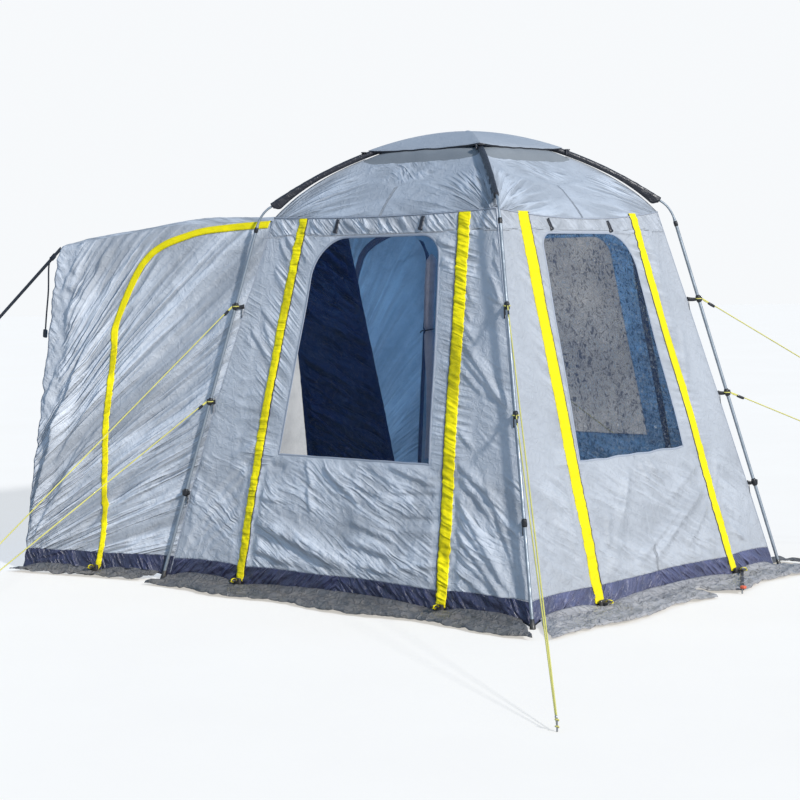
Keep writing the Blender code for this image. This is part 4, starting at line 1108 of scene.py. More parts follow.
def wall_grid(face, pitch):
    """Metres across and height of a wall's grid, and which cells are cloth and not window.

    Columns run from corner to window edge, across it, and on to the other corner, so that the
    window's outline is a line of the grid; rows below and above it stop at band and eave.
    """
    straight, arc = window_rows(face, pitch)
    below = along_axis((BAND_TOP, WINDOW_BOTTOM, pitch))[:-1]
    above = along_axis((WINDOW_TOP, EAVE_Z, pitch))
    z = np.concatenate([below, straight, arc, above])[:, None]
    half, first, last = face_half(face, z), -window_half(face, z, -1), window_half(face, z, 1)
    width = window_half(face, 1.0, 1)
    side = max(4, int((face_half(face, 1.0) - width) / pitch))
    middle = max(4, int(2.0 * width / pitch))
    left = mix(-half, first, np.linspace(0, 1, side + 1)[None, :-1])
    centre = mix(first, last, np.linspace(0, 1, middle + 1)[None, :-1])
    right = mix(last, half, row_of(0, 1, side + 1))
    x = np.concatenate([left, centre, right], axis=1)
    share = x / half
    z = np.broadcast_to(z, x.shape)
    high = mix(WINDOW_TOP, eave_z(face, share), (z - WINDOW_TOP) / (EAVE_Z - WINDOW_TOP))
    low = mix(band_top_z(face, x), WINDOW_BOTTOM, (z - BAND_TOP) / (WINDOW_BOTTOM - BAND_TOP))
    z = np.where(z > WINDOW_TOP, high, np.where(z < WINDOW_BOTTOM, low, z))
    keep = np.ones((x.shape[0] - 1, x.shape[1] - 1), bool)
    keep[len(below):len(below) + len(straight) + len(arc), side:side + middle] = False
    return share * face_half(face, z), z + sill_shift(face, x, z), keep


def window_path(face, step=0.012):
    """Closed outline of a window as metres across and height."""
    straight, arc = window_rows(face, step)
    z = np.concatenate([straight, arc, [WINDOW_TOP]])
    first, last = -window_half(face, z, -1), window_half(face, z, 1)
    top = np.linspace(last[-1], first[-1], int((last[-1] - first[-1]) / step))[1:-1]
    base = np.linspace(first[0], last[0], int((last[0] - first[0]) / step))[1:-1]
    x = np.concatenate([last, top, first[::-1], base])
    z = np.concatenate([z, WINDOW_TOP + 0 * top, z[::-1], WINDOW_BOTTOM + 0 * base])
    return x, z + sill_shift(face, x, z)


class AWNING_OT_walls(Operator):
    """Make the three walls with their window films, hems and the rolled blind"""

    bl_idname = "awning.walls"
    bl_label = "Walls and windows"

    def execute(self, context):
        sizes = context.scene.awning_sizes
        for face in SEEN_FACES:
            self.make_wall(face, sizes.far_pitch if face == "back" else sizes.pitch, sizes)
            self.make_window(face, sizes)
        self.make_blind("front", 1)
        return {"FINISHED"}

    def make_blind(self, face, side):
        """A blind rolled lengthways inside the window's edge: an oval section that pleats and narrows."""
        z = along_axis((0.74, 1.76, 0.008))
        turn = ring_angles(20)[None, :]
        gap = mix(0.045, 0.085, smooth((z - 1.0) / 0.5)) + 0.004 * noise(z / 0.25, 0.0 * z, 87)
        path = on_face(face, side * (window_half(face, z, side) - gap), z, -0.042 + 0.0 * z)
        full = smooth((1.78 - z) / 0.06) * mix(0.75, 1.0, smooth((z - 0.8) / 0.8))
        full = full * (1.0 - 0.35 * np.exp(-(((z - BLIND_TIE) / 0.012) ** 2)))
        pleat = 1.0 + 0.12 * noise(z[:, None] / 0.11, 3.0 * np.cos(turn), 88)
        across, up = face_frame(face, path)
        grid = carry(path, across, up, 0.034 * full, 0.016 * full, 20)
        grid = path[:, None] + (grid - path[:, None]) * pleat[..., None]
        add_tubes(f"{face}_window_blind", [capped(grid)], "blind_cloth")
        middle = int(np.argmin(np.abs(z - BLIND_TIE)))
        ring = path[middle] + 0.032 * np.cos(turn.T) * across[middle] + 0.014 * np.sin(turn.T) * up[middle]
        tie = np.concatenate([ring, ring[:1]])
        end = curve([(0.022, 0.0), (0.040, 0.003), (0.050, -0.006)], 0.003)
        tail = path[middle] - side * across[middle] * end[:, :1] + up[middle] * 0.012
        tail = tail + UP * end[:, 1:]
        add_webbing(f"{face}_blind_tie", [tube(tie, 0.0030, 8), tube(tail, 0.0028, 8)])

    def make_wall(self, face, pitch, sizes):
        x, z, keep = wall_grid(face, pitch)
        points = wall_points(face, x, z, wall_out(face, x, z, sizes.fold_depth))
        # The walls away from the sun get the lighter copy of the wall cloth: painted light.
        finish = "wall_cloth" if face == "right" else "painted_light_wall_cloth"
        wall = add_sheet(f"{face}_wall_cloth", points, (x, z), FACES[face], finish,
                         [f"{face}_wall"], sizes.thickness, keep=keep, drawn=wall_drawn(face, x, z))

    def make_window(self, face, sizes):
        straight, arc = window_rows(face, 0.012)
        z = np.concatenate([straight, arc, [WINDOW_TOP]])[:, None]
        first, last = -window_half(face, z, -1), window_half(face, z, 1)
        x = mix(first, last, row_of(0.0, 1.0, 84))
        z = np.broadcast_to(z, x.shape)
        inside = np.minimum(np.minimum(np.minimum(last - x, x - first), WINDOW_TOP - z), z - WINDOW_BOTTOM)
        z = z + sill_shift(face, x, z)
        wave = 0.006 * noise(x / 0.30, z / 0.34, 81) + 0.0022 * noise(x / 0.09, z / 0.10, 82)
        wave = wave + 0.0012 * noise(x / 0.035, z / 0.045, 83)
        out = belly(face, x, z) * sizes.fold_depth + wave * smooth(inside / 0.05) - 0.0004
        film = add_sheet(f"{face}_window_film", on_face(face, x, z, out), (x, z), FACES[face],
                         "creased_film" if face == "right" else "window_film",
                         [f"{face}_window"], 0.0)
        x, z = window_path(face)
        path = on_face(face, x, z, belly(face, x, z) * sizes.fold_depth + 0.0006)
        tangent = unit(np.roll(path, -1, axis=0) - np.roll(path, 1, axis=0))
        up = np.broadcast_to(normal_of(face), path.shape)
        grid = carry(path, unit(np.cross(tangent, up)), up, 0.0060, 0.0014)
        mesh = make_mesh(f"{face}_window_hem", [grid], closed=(True, True))
        fix_normals(add_piece(mesh.name, mesh, "hem_tape"))


class AWNING_OT_zip_covers(Operator):
    """Make the bright covers over the wall zips, the zip lines beside them and the toggles"""

    bl_idname = "awning.zip_covers"
    bl_label = "Zip covers and toggles"

    def execute(self, context):
        sizes = context.scene.awning_sizes
        for face in SEEN_FACES:
            for side, end in ((-1, "left"), (1, "right")):
                self.make_cover(face, side, end, sizes)
            self.make_toggles(face, sizes)
            self.make_tapes(face, sizes)
            feet = []
            for side in (-1, 1):
                x = strip_middle(face, side, np.array(0.012))
                out = wall_out(face, x, 0.012, sizes.fold_depth) + 0.004
                feet.append(on_face(face, x, np.array(0.008), out))
            add_foot_fittings(face, feet, np.cross(UP, normal_of(face)), normal_of(face))
        self.make_peg(feet_x=float(strip_middle("right", 1, 0.012)))
        return {"FINISHED"}

    def make_peg(self, feet_x):
        """A stake with a bright head that holds the strap from the right wall's far cover."""
        start = np.array([TENT_X + BASE_X + 0.05, feet_x - 0.01, 0.044])
        stake = np.array([TENT_X + BASE_X + 0.310, feet_x - 0.440, 0.022])
        path = mix(start, stake, column(0.0, 1.0, 16))
        along = unit(stake - start)
        side = np.broadcast_to(unit(np.cross(along, UP)), path.shape)
        add_webbing("hem_peg_strap", [ribbon(path, side, np.cross(side, along), 0.0090, 0.0013)])
        pin = stake + UP * column(-0.018, 0.012, 8)
        add_tubes("hem_peg_pin", [tube(pin, 0.0040, 12)], "peg_steel")
        head = box_block(stake + [0.006, 0.0, 0.016], np.eye(3), (0.032, 0.028, 0.018), 3.0)
        add_tubes("hem_peg_head", [head], "peg_head")

    def make_cover(self, face, side, end, sizes):
        """Across the cover a low arch; along it gathers that differ from place to place."""
        width = sizes.strip_width + STRIP_EXTRA[(face, side)]
        z = along_axis((0.040, 1.968, 0.008 if face == "back" else 0.005))[:, None]
        q = row_of(-1.0, 1.0, 13)
        seed = 90 + 3 * side + len(face)
        waist = 0.0 * z
        if (face, side) in (("front", -1), ("back", 1)):
            waist = np.exp(-(((z - 1.05) / 0.17) ** 2))
        calm = (0.30 if face == "right" else 1.0) * (1.0 - 0.8 * waist) * smooth((z - 0.03) / 0.05)
        edge = 1.0 + calm * (0.11 * noise(z / 0.017, np.sign(q) * 5.3, seed) * np.abs(q))
        taper = 1.0 - 0.16 * smooth((0.35 - z) / 0.35) - 0.10 * waist
        x = strip_middle(face, side, z) + q * width / 2.0 * edge * taper
        lean = 0.35 if side > 0 else 0.0
        wave = noise((z + lean * x) / 0.026, q * 0.55 + 0.3 * z, seed + 1)
        wave = wave + 0.6 * noise(z / 0.013, q * 0.9, seed + 2)
        out = wall_out(face, x, z, sizes.fold_depth) + 0.0022 + 0.0045 * (1.0 - q**4) * (1.0 + waist)
        out = out + calm * 0.0034 * wave * (1.0 - 0.35 * q**2) * sizes.fold_depth
        out = out + 0.004 * smooth((0.16 - z) / 0.12)
        x, z, out = np.broadcast_arrays(x, z, out)
        cover = add_sheet(f"{face}_zip_strip_{end}", on_face(face, x, z, out),
                          ((np.abs(q) - 1.0) * width / 2.0, z), FACES[face], "yellow_cloth",
                          [f"{face}_zip_cover_{end}"],
                          drawn=(z + lean * x, 0.35 * x + 0.1 * side, 0.0058 * calm + 0.0 * x))
        z = along_axis((0.012, 1.965, 0.012))
        x = strip_middle(face, side, z) - side * (width / 2.0 + 0.0005)
        path = on_face(face, x, z, wall_out(face, x, z, sizes.fold_depth) + 0.0015)
        add_webbing(f"{face}_zip_line_{end}", [tube(path, 0.0026, 6)])

    def make_toggles(self, face, sizes):
        grids = []
        for x0, x1, z0, z1 in TOGGLES[face]:
            t = np.linspace(0.0, 1.0, 14)
            x, z = mix(x0, x1, t), mix(z0, z1, t)
            out = wall_out(face, x, z, sizes.fold_depth) + 0.003 + 0.003 * np.sin(math.pi * t)
            path = on_face(face, x, z, out)
            end = 0.0045 * smooth((t - 0.76) / 0.10)
            grids.append(ribbon(path, *face_frame(face, path), 0.0105 + end, 0.0020 + end))
        add_webbing(f"{face}_toggles", grids)

    def make_tapes(self, face, sizes):
        """Flat dark tapes that follow both zips on the inner side of the wall: partly real zip tape, partly
        painted shade where the zip covers block the light through the wall.
        """
        z = along_axis((0.020, 1.930, 0.015))
        grids = []
        for side in (-1, 1):
            x = strip_middle(face, side, z)
            path = on_face(face, x, z, wall_out(face, x, z, sizes.fold_depth) - 0.0045)
            grids.append(ribbon(path, *face_frame(face, path), 0.0190, 0.0012))
        add_tubes(f"{face}_zip_tapes_and_shade", grids, "door_cloth")


def box_block(centre, axes, sizes, power=6.0, sides=20, rows=12):
    """A block with soft edges: a sphere whose rings are pushed out to a superellipse."""
    turn = ring_angles(sides)[None, :]
    rise = column(-math.pi / 2.0, math.pi / 2.0, rows)

    def power_of(value):
        return np.sign(value) * np.abs(value) ** (2.0 / power)

    a = power_of(np.cos(rise)) * power_of(np.cos(turn)) * sizes[0] / 2.0
    b = power_of(np.cos(rise)) * power_of(np.sin(turn)) * sizes[1] / 2.0
    c = power_of(np.sin(rise)) * sizes[2] / 2.0 + 0.0 * turn
    axes = [np.array(axis, float) for axis in axes]
    return np.array(centre, float) + a[..., None] * axes[0] + b[..., None] * axes[1] + c[..., None] * axes[2]


def foot_fittings(foot, across, out):
    """At a zip cover's foot: a buckle, its ring on the ground, and the loose loop of its tail."""
    buckle = foot + out * 0.017 + UP * 0.034
    ring = foot + out * 0.046 + UP * 0.040
    turn = column(0.0, 2.0 * math.pi, 28)
    wire = ring + 0.019 * (np.cos(turn) * out + np.sin(turn) * across) + 0.004 * np.cos(turn) * UP
    path = mix(buckle, ring - out * 0.012, column(0.0, 1.0, 6))
    wide = np.broadcast_to(across, path.shape)
    thin = np.broadcast_to(unit(np.cross(path[-1] - path[0], across)), path.shape)
    blocks = [box_block(buckle, (across, out, UP), (0.060, 0.018, 0.034)), tube(wire, 0.0044, 8),
              ribbon(path, wide, thin, 0.0110, 0.0014)]
    loop = curve([(0.026, 0.040), (0.042, 0.052), (0.062, 0.048), (0.066, 0.036), (0.050, 0.034)], 0.003)
    path = foot + across * 0.008 + out * loop[:, :1] + UP * loop[:, 1:]
    wide = np.broadcast_to(across, path.shape)
    return blocks, [ribbon(path, wide, np.cross(wide, unit(np.gradient(path, axis=0))), 0.0065, 0.0011)]


def add_foot_fittings(name, feet, across, out):
    """The buckles and tails of several zip covers, as one dark and one bright piece."""
    across, out = np.array(across, float), np.array(out, float)
    blocks, tails = [], []
    for foot in feet:
        more, tail = foot_fittings(np.array(foot, float), across, out)
        blocks += more
        tails += tail
    add_tubes(f"{name}_foot_buckles", blocks, "black_plastic")
    add_tubes(f"{name}_foot_tails", tails, "yellow_cloth")


def peaks(x, y, seed):
    """Crumples from 0 to 1, flat in their hollows."""
    return np.clip(0.5 + 0.5 * crumple(x, y, seed), 0.0, 1.0) ** 2


class AWNING_OT_bands(Operator):
    """Make the dark ground bands with their hems, and the grey skirts lying on the ground"""

    bl_idname = "awning.bands"
    bl_label = "Ground bands and skirts"

    def execute(self, context):
        sizes = context.scene.awning_sizes
        for face in SEEN_FACES:
            self.make_band(face, sizes)
            self.make_skirt(face, sizes)
        return {"FINISHED"}

    def make_band(self, face, sizes):
        """Rows from the scalloped hem to the wall; folds slant down towards both bottom corners."""
        pitch = 0.010 if face == "back" else 0.007
        half = face_half(face, 0.0)
        share = row_of(-1.0, 1.0, int(2.0 * half / pitch))
        t = column(0.0, 1.0, 20)
        z = mix(hem_z(face, share * half), band_top_z(face, share * half) + 0.0015, t)
        x = share * face_half(face, z)
        u = -x if face == "back" else x
        slant = noise((np.abs(u) + 2.4 * z) / 0.085, z / 0.25, 64)
        slant = slant + 0.5 * noise((np.abs(u) + 1.6 * z) / 0.036, z / 0.1, 65)
        loose = mix(np.sin(math.pi * np.clip(t, 0.0, 1.0)) ** 0.7, 1.0, 0.35) * smooth((1.0 - t) / 0.2)
        corner = smooth((0.10 - (half - np.abs(x))) / 0.10)
        body = 0.0078 * slant + 0.0036 * crumple(u / 0.06, z / 0.05, 66)
        body = body + 0.006 * hem_lift(face, x) * (1.0 - t)
        out = wall_out(face, x, z, sizes.fold_depth) + 0.0012
        out = out + sizes.fold_depth * body * loose * (1.0 - 0.7 * corner)
        points = wall_points(face, x, z, out)
        # The right band, in the sun, gets the lighter copy of the navy cloth: painted light.
        finish = "painted_sunlit_navy_cloth" if face == "right" else "navy_cloth"
        band = add_sheet(f"{face}_band_cloth", points, (x, z), FACES[face], finish,
                         [f"{face}_ground_band"], drawn=band_drawn(u, z))
        add_webbing(f"{face}_hem_cord", [tube(points[0] + normal_of(face) * 0.0005, 0.0042, 8)])

    def make_skirt(self, face, sizes):
        """From behind the hem down to the ground and out, in sharp crumples over soft lumps."""
        base, end = (BASE_X, 1.05) if face == "right" else (BASE_Y, 1.20)
        step = 0.016 if face == "back" else 0.010
        s = row_of(-1.0, 1.0, int(2.3 * end / step))
        t = column(0.0, 1.0, int(0.30 / step))
        ragged = 0.024 * noise(s * 5.0, 0.0 * s, 67) + 0.014 * noise(s * 15.0, 0.0 * s, 58)
        width = sizes.skirt_reach * (1.0 + 0.10 * np.sin(9.0 * s)) - 0.022 - ragged
        if face == "right":
            notch = np.exp(-(((s * end - SKIRT_NOTCH) / 0.05) ** 4))
            width = width * (1.08 - 0.10 * s) * (1.0 - 0.65 * notch)
        out = t * width - 0.004
        tunnel_side = {"front": -1.0, "back": 1.0, "right": 0.0}[face]
        across = s * (end + np.where(s * tunnel_side > 0.0, 0.0, np.maximum(out, 0.0)))
        lumps = 0.5 + 0.5 * noise(across / 0.17, out / 0.12, 68)
        sharp, fine = peaks(across / 0.130, out / 0.10, 69), peaks(across / 0.060, out / 0.050, 70)
        flat = 0.0026 + sizes.fold_depth * (0.012 * lumps + 0.026 * sharp + 0.008 * fine)
        flat = mix(flat, 0.0026, 0.6 * smooth((out / width - 0.93) / 0.07))
        z = mix(hem_z(face, across) + 0.010, flat, smooth((out + 0.004) / 0.05)) + 0.0 * t
        across, out, z = np.broadcast_arrays(across, out, z)
        if face == "right":
            points = np.stack([TENT_X + (base + out), across, z], -1)
        else:
            outward = FACES[face][1]
            points = np.stack([TENT_X + across * -outward, (base + out) * outward, z], -1)
        # The right skirt, in the sun, gets the lighter copy of the skirt sheet: painted light.
        finish = "painted_sunlit_skirt_sheet" if face == "right" else "skirt_sheet"
        skirt = add_sheet(f"{face}_skirt_sheet", points, (across, out), (0, 0, 1), finish,
                          [f"{face}_ground_skirt"])


def square_grid(edge, pitch):
    """A square of shares from -edge to edge, with each point's greater share and the rest of it."""
    count = 2 * int(edge * EAVE_X / pitch)
    line = np.linspace(-edge, edge, count + 1)
    u, v = np.meshgrid(line, line)
    share = np.maximum(np.abs(u), np.abs(v))
    return u, v, share, np.minimum(np.abs(u), np.abs(v)) / np.maximum(share, 1e-9)


def roof_folds(u, v, share, turn):
    """Folds of the four roof panels, each in metres across and metres up from its eave."""
    up = (1.0 - share) * ROOF_LENGTH
    total = np.zeros(u.shape)
    for face, across, here in (("front", u * EAVE_X, -v), ("back", u * EAVE_X, v),
                               ("right", v * EAVE_Y, u), ("left", v * EAVE_Y, -u)):
        mine = (here >= share - 1e-9) * smooth((1.0 - turn) / 0.08)
        fold = creases(across, up, ROOF_CREASES)
        fan = corner_fan(across, up, np.sign(across) * 0.77, 0.0, 33 + len(face), 0.50)
        fold = fold + 0.0022 * fan + 0.0016 * crumple(across / 0.12, up / 0.10, 35 + len(face))
        soft = noise((across + 0.5 * up) / 0.11, (up - 0.5 * across) / 0.30, 37 + len(face))
        fold = fold + 0.0030 * soft * smooth((up - 0.03) / 0.1)
        total = total + mine * fold
    return total * smooth((1.0 - share) / 0.035)


def roof_drawn(u, v):
    """Thin folds of the roof: fanned from the eave corners, and bowed across the panels' middles."""
    across = np.where(np.abs(v) >= np.abs(u), u * EAVE_X, v * EAVE_Y)
    up = (1.0 - np.maximum(np.abs(u), np.abs(v))) * ROOF_LENGTH
    r = np.hypot(np.abs(across) - 0.80, up + 0.05)
    angle = np.arctan2(up + 0.05, 0.80 - np.abs(across))
    high = smooth((up - 0.12) / 0.15)
    warp = 0.08 * noise(across / 0.30, up / 0.25, 86)
    return strongest((angle * 0.6 + np.sign(across), 0.4 * r, 0.0105 * np.exp(-((r / 0.60) ** 2))),
                     (0.5 * across + up + warp, across - 0.5 * up, 0.0042 * high + 0.0 * u))


class AWNING_OT_roof(Operator):
    """Make the one roof canopy, the vent netting, the cap over it and the eave piping"""

    bl_idname = "awning.roof"
    bl_label = "Roof, vent and cap"

    def execute(self, context):
        sizes = context.scene.awning_sizes
        self.make_canopy(sizes)
        self.make_cap(sizes)
        self.make_piping()
        return {"FINISHED"}

    def surface(self, u, v, share, turn, folds):
        """Height falls from the crossing as the poles do; the eave sags and meets the leaning walls."""
        side = np.where(u > 0, EAVE_SAG["right"], EAVE_SAG["left"])
        sag = np.where(np.abs(u) > np.abs(v), side, EAVE_SAG["front"]) * (1.0 - turn**2) * share**5
        slack = (0.020 * (1.0 - turn**2) + 0.018 * (1.0 - turn**10)) * share * (1.0 - share) * 4.0
        slack = slack * smooth((share - 0.42) / 0.32)
        z = roof_z(share) - sag - slack + folds
        lean_x = np.where(np.abs(u) >= np.abs(v), sag * (BASE_X - EAVE_X) / EAVE_Z, 0.0)
        lean_y = np.where(np.abs(v) >= np.abs(u), sag * (BASE_Y - EAVE_Y) / EAVE_Z, 0.0)
        x = TENT_X + EAVE_X * u + np.sign(u) * lean_x
        return np.stack([x, EAVE_Y * v + np.sign(v) * lean_y, z], -1)

    def make_canopy(self, sizes):
        u, v, share, turn = square_grid(1.0, sizes.pitch * 1.2)
        points = self.surface(u, v, share, turn, sizes.fold_depth * roof_folds(u, v, share, turn))
        middle = np.maximum(np.maximum(share[1:, 1:], share[:-1, :-1]),
                            np.maximum(share[1:, :-1], share[:-1, 1:]))
        hem = 0.531 + 0.010 * noise(u[1:, 1:] * 9.0, v[1:, 1:] * 9.0, 38)
        roof = add_sheet("roof_canopy", points, (u * EAVE_X, v * EAVE_Y), UP, "roof_cloth",
                         [f"{face}_roof_panel" for face in FACES], sizes.thickness, keep=middle > hem,
                         drawn=roof_drawn(u, v))
        u, v, share, turn = square_grid(VENT_EDGE, 0.010)
        points = self.surface(u, v, share, turn, -0.0035 + 0.0 * u)
        under = self.cap_z(u, v, share, turn, sizes) - 0.010
        risen = smooth((0.585 - share) / 0.07) * (1.0 - turn**4)
        points[..., 2] = mix(points[..., 2], np.maximum(under, points[..., 2]), risen)
        net = add_sheet("vent_net", points, (u * EAVE_X, v * EAVE_Y), UP, "vent_netting",
                        ["vent_mesh"], 0.0)

    def cap_z(self, u, v, share, turn, sizes):
        """The cap lies over the crossing sleeves, and sinks a little between them to its hem."""
        sag = (0.004 * (share / CAP_EDGE) ** 2 + 0.004) * (1.0 - turn**3)
        rim = smooth((share / CAP_EDGE - 0.93) / 0.07)
        ripple = 0.0030 * noise((u + v) * 7.0, (u - v) * 7.0, 39) * (0.3 + rim) * (1.0 - turn**2)
        return over_pole(share) + 0.0035 - sag + ripple * sizes.fold_depth - 0.004 * rim * (1.0 - turn**4)

    def make_cap(self, sizes):
        u, v, share, turn = square_grid(CAP_EDGE, 0.008)
        z = self.cap_z(u, v, share, turn, sizes)
        points = np.stack([TENT_X + EAVE_X * u, EAVE_Y * v, z], -1)
        cap = add_sheet("cap_cloth", points, (u * EAVE_X, v * EAVE_Y), UP, "cap_cloth",
                        ["roof_cap"], 0.0014)
        grids = []
        for line in (points[0], points[:, -1], points[-1, ::-1], points[::-1, 0]):
            inwards = unit((np.array([TENT_X, 0.0, 0.0]) - line) * (1.0 - UP)) * 0.006
            grids.append(tube(line + inwards - 0.0055 * UP, 0.0036, 8))
        add_webbing("cap_cord", grids)
        ties = []
        for side_x, side_y in CORNERS.values():
            out = unit(np.array([TOP_X * side_x, TOP_Y * side_y, 0.0]))
            across = np.array([-out[1], out[0], 0.0])
            top = np.array([TENT_X + side_x * EAVE_X * CAP_TIE, side_y * EAVE_Y * CAP_TIE,
                            float(over_pole(CAP_TIE)) + 0.001])
            axes = (out, across, UP)
            ties.append(box_block(top, axes, (0.030, 0.044, 0.007)))
            ties.append(box_block(top - across * 0.024 - 0.014 * UP, axes, (0.020, 0.006, 0.030)))
        add_webbing("cap_ties", ties)

    def make_piping(self):
        grids = []
        for face in FACES:
            share = np.linspace(-1.0, 1.0, 120)
            z = eave_z(face, share)
            grids.append(tube(on_face(face, share * face_half(face, z), z, 0.0 * share + 0.0018), 0.0032, 8))
        for side_x, side_y in CORNERS.values():
            grids.append(tube(corner_point(side_x, side_y, np.linspace(0.03, EAVE_Z, 160)), 0.0024, 8))
        add_tubes("seam_piping", grids, "hem_tape")


class AWNING_OT_frame(Operator):
    """Make the sleeves over the crossing poles, the steel legs and their clips and feet"""

    bl_idname = "awning.frame"
    bl_label = "Poles, legs and clips"

    def execute(self, context):
        sizes = context.scene.awning_sizes
        self.make_sleeve("pole_sleeve_a", 1.0)
        self.make_sleeve("pole_sleeve_b", -1.0)
        for name, (side_x, side_y) in CORNERS.items():
            self.make_leg(name, side_x, side_y, sizes)
            self.make_fittings(name, side_x, side_y, sizes)
        return {"FINISHED"}

    def make_sleeve(self, name, turn):
        """Round over the pole, drawn down to the roof below it, taller and pleated at both ends."""
        reach = np.linspace(-SLEEVE_END, SLEEVE_END, 301)
        a = np.abs(reach)
        axis = np.stack([TENT_X + TOP_X * reach, turn * TOP_Y * reach, pole_z(a)], -1)
        side = unit(np.array([TOP_Y * turn, -TOP_X, 0.0]))
        tangent = unit(np.gradient(axis, axis=0))
        up = unit(UP - tangent * tangent[:, 2:])
        flat = smooth((a - 0.55) / 0.37)
        share = np.minimum(a / EAVE_SHARE, 1.0)
        drop = (pole_z(a) - roof_z(share)) * 0.60 * smooth((0.995 - a / SLEEVE_END) / 0.05 + 0.5)
        low = np.maximum(0.0150, mix(0.0150, drop, smooth((a - 0.5) / 0.3)))
        angle = ring_angles(24)[None, :]
        along, flat = reach[:, None], flat[:, None]
        pleat = noise(along / 0.028, angle * 1.3 + 0.2, 45 + int(turn)) * (0.25 + flat)
        pleat = pleat + 0.5 * noise(along / 0.012 + angle * 1.2, angle * 2.0, 47) * flat
        across = np.cos(angle) * (mix(0.0165, 0.0115, flat) + 0.0022 * pleat)
        tall = np.where(np.sin(angle) > 0.0, 0.0162, low[:, None])
        rise = np.sin(angle) * (tall + 0.0016 * pleat * (np.sin(angle) > 0.0))
        grid = axis[:, None] + side * across[..., None] + up[:, None] * rise[..., None]
        add_webbing(name, [capped(grid)], ["roof_poles"])

    def leg_path(self, side_x, side_y):
        """Straight up the leg, then a blend of two straight lines round the bend to the sleeve."""

        def on_pole(reach):
            return np.array([TENT_X + side_x * TOP_X * reach, side_y * TOP_Y * reach, pole_z(reach)])

        straight = leg_point(side_x, side_y, np.linspace(0.008, 0.965, 60))
        t = np.linspace(0.0, 1.0, 12)[1:, None]
        below, bend = leg_point(side_x, side_y, 0.965), leg_point(side_x, side_y, 1.0)
        arc = mix(mix(below, bend, t), mix(bend, on_pole(0.957), t), t)
        return np.concatenate([straight, arc, [on_pole(0.930)]])

    def make_leg(self, name, side_x, side_y, sizes):
        path = self.leg_path(side_x, side_y)
        radius = mix(sizes.leg_radius, 0.0062, smooth((path[:, 2] - 1.925) / 0.03))
        add_tubes(f"leg_tube_{name}", [tube(path, radius, 20)], "leg_steel", [f"leg_{name}"])

    def make_fittings(self, name, side_x, side_y, sizes):
        """Foot, collar under the bend, and at each clip a ring, a strap to the seam and its tail."""
        height, radius = np.array(FOOT_PROFILE).T
        path = leg_point(side_x, side_y, height / LEG_TOP_Z)
        path[:, 2] = np.maximum(path[:, 2], 0.0004)
        grids = [capped(path[:, None] + circle(24) * radius[:, None, None])]
        collar = leg_point(side_x, side_y, np.linspace(0.950, 0.964, 6))
        swell = np.array([0.001, 0.0022, 0.0026, 0.0026, 0.0022, 0.001])
        grids.append(tube(collar, sizes.leg_radius + swell, 20))
        for share in CLIP_SHARES:
            grids += self.make_clip(side_x, side_y, share, sizes.leg_radius)
        add_tubes(f"leg_fittings_{name}", grids, "black_plastic")

    def make_clip(self, side_x, side_y, share, r):
        ring = leg_point(side_x, side_y, share + np.linspace(-0.010, 0.010, 9))
        bulge = r + 0.0042 * (1.0 - np.linspace(-1.0, 1.0, 9) ** 6) + 0.0004
        leg, back = clip_place(side_x, side_y, share)
        start = corner_point(side_x, side_y, np.array(leg[2])) + back * (0.001 if side_x > 0 else 0.006)
        t = column(0.0, 1.0, 12)
        path = mix(leg + back * 0.004, start, t) - 0.004 * UP * np.sin(math.pi * t)
        level = np.broadcast_to(level_of(back), path.shape)
        strap = ribbon(path, level, np.broadcast_to(UP, path.shape), 0.0016, mix(0.0085, 0.0125, t[:, 0]))
        hook = box_block(leg + back * (r + 0.004), (back, level[0], UP), (0.012, 0.014, 0.030))
        t = column(0.0, 1.0, 10)
        tail = start + back * mix(0.010, 0.016, t) - 0.062 * UP * t
        tail = ribbon(tail, level[:10], np.broadcast_to(back, tail.shape), 0.0080, 0.0011)
        return [tube(ring, bulge, 20), strap, hook, tail]


def clip_place(side_x, side_y, share):
    """A clip's point on the leg's axis, and the direction from the corner seam to it."""
    leg = leg_point(side_x, side_y, share)
    return leg, unit(leg - corner_point(side_x, side_y, np.array(leg[2])))


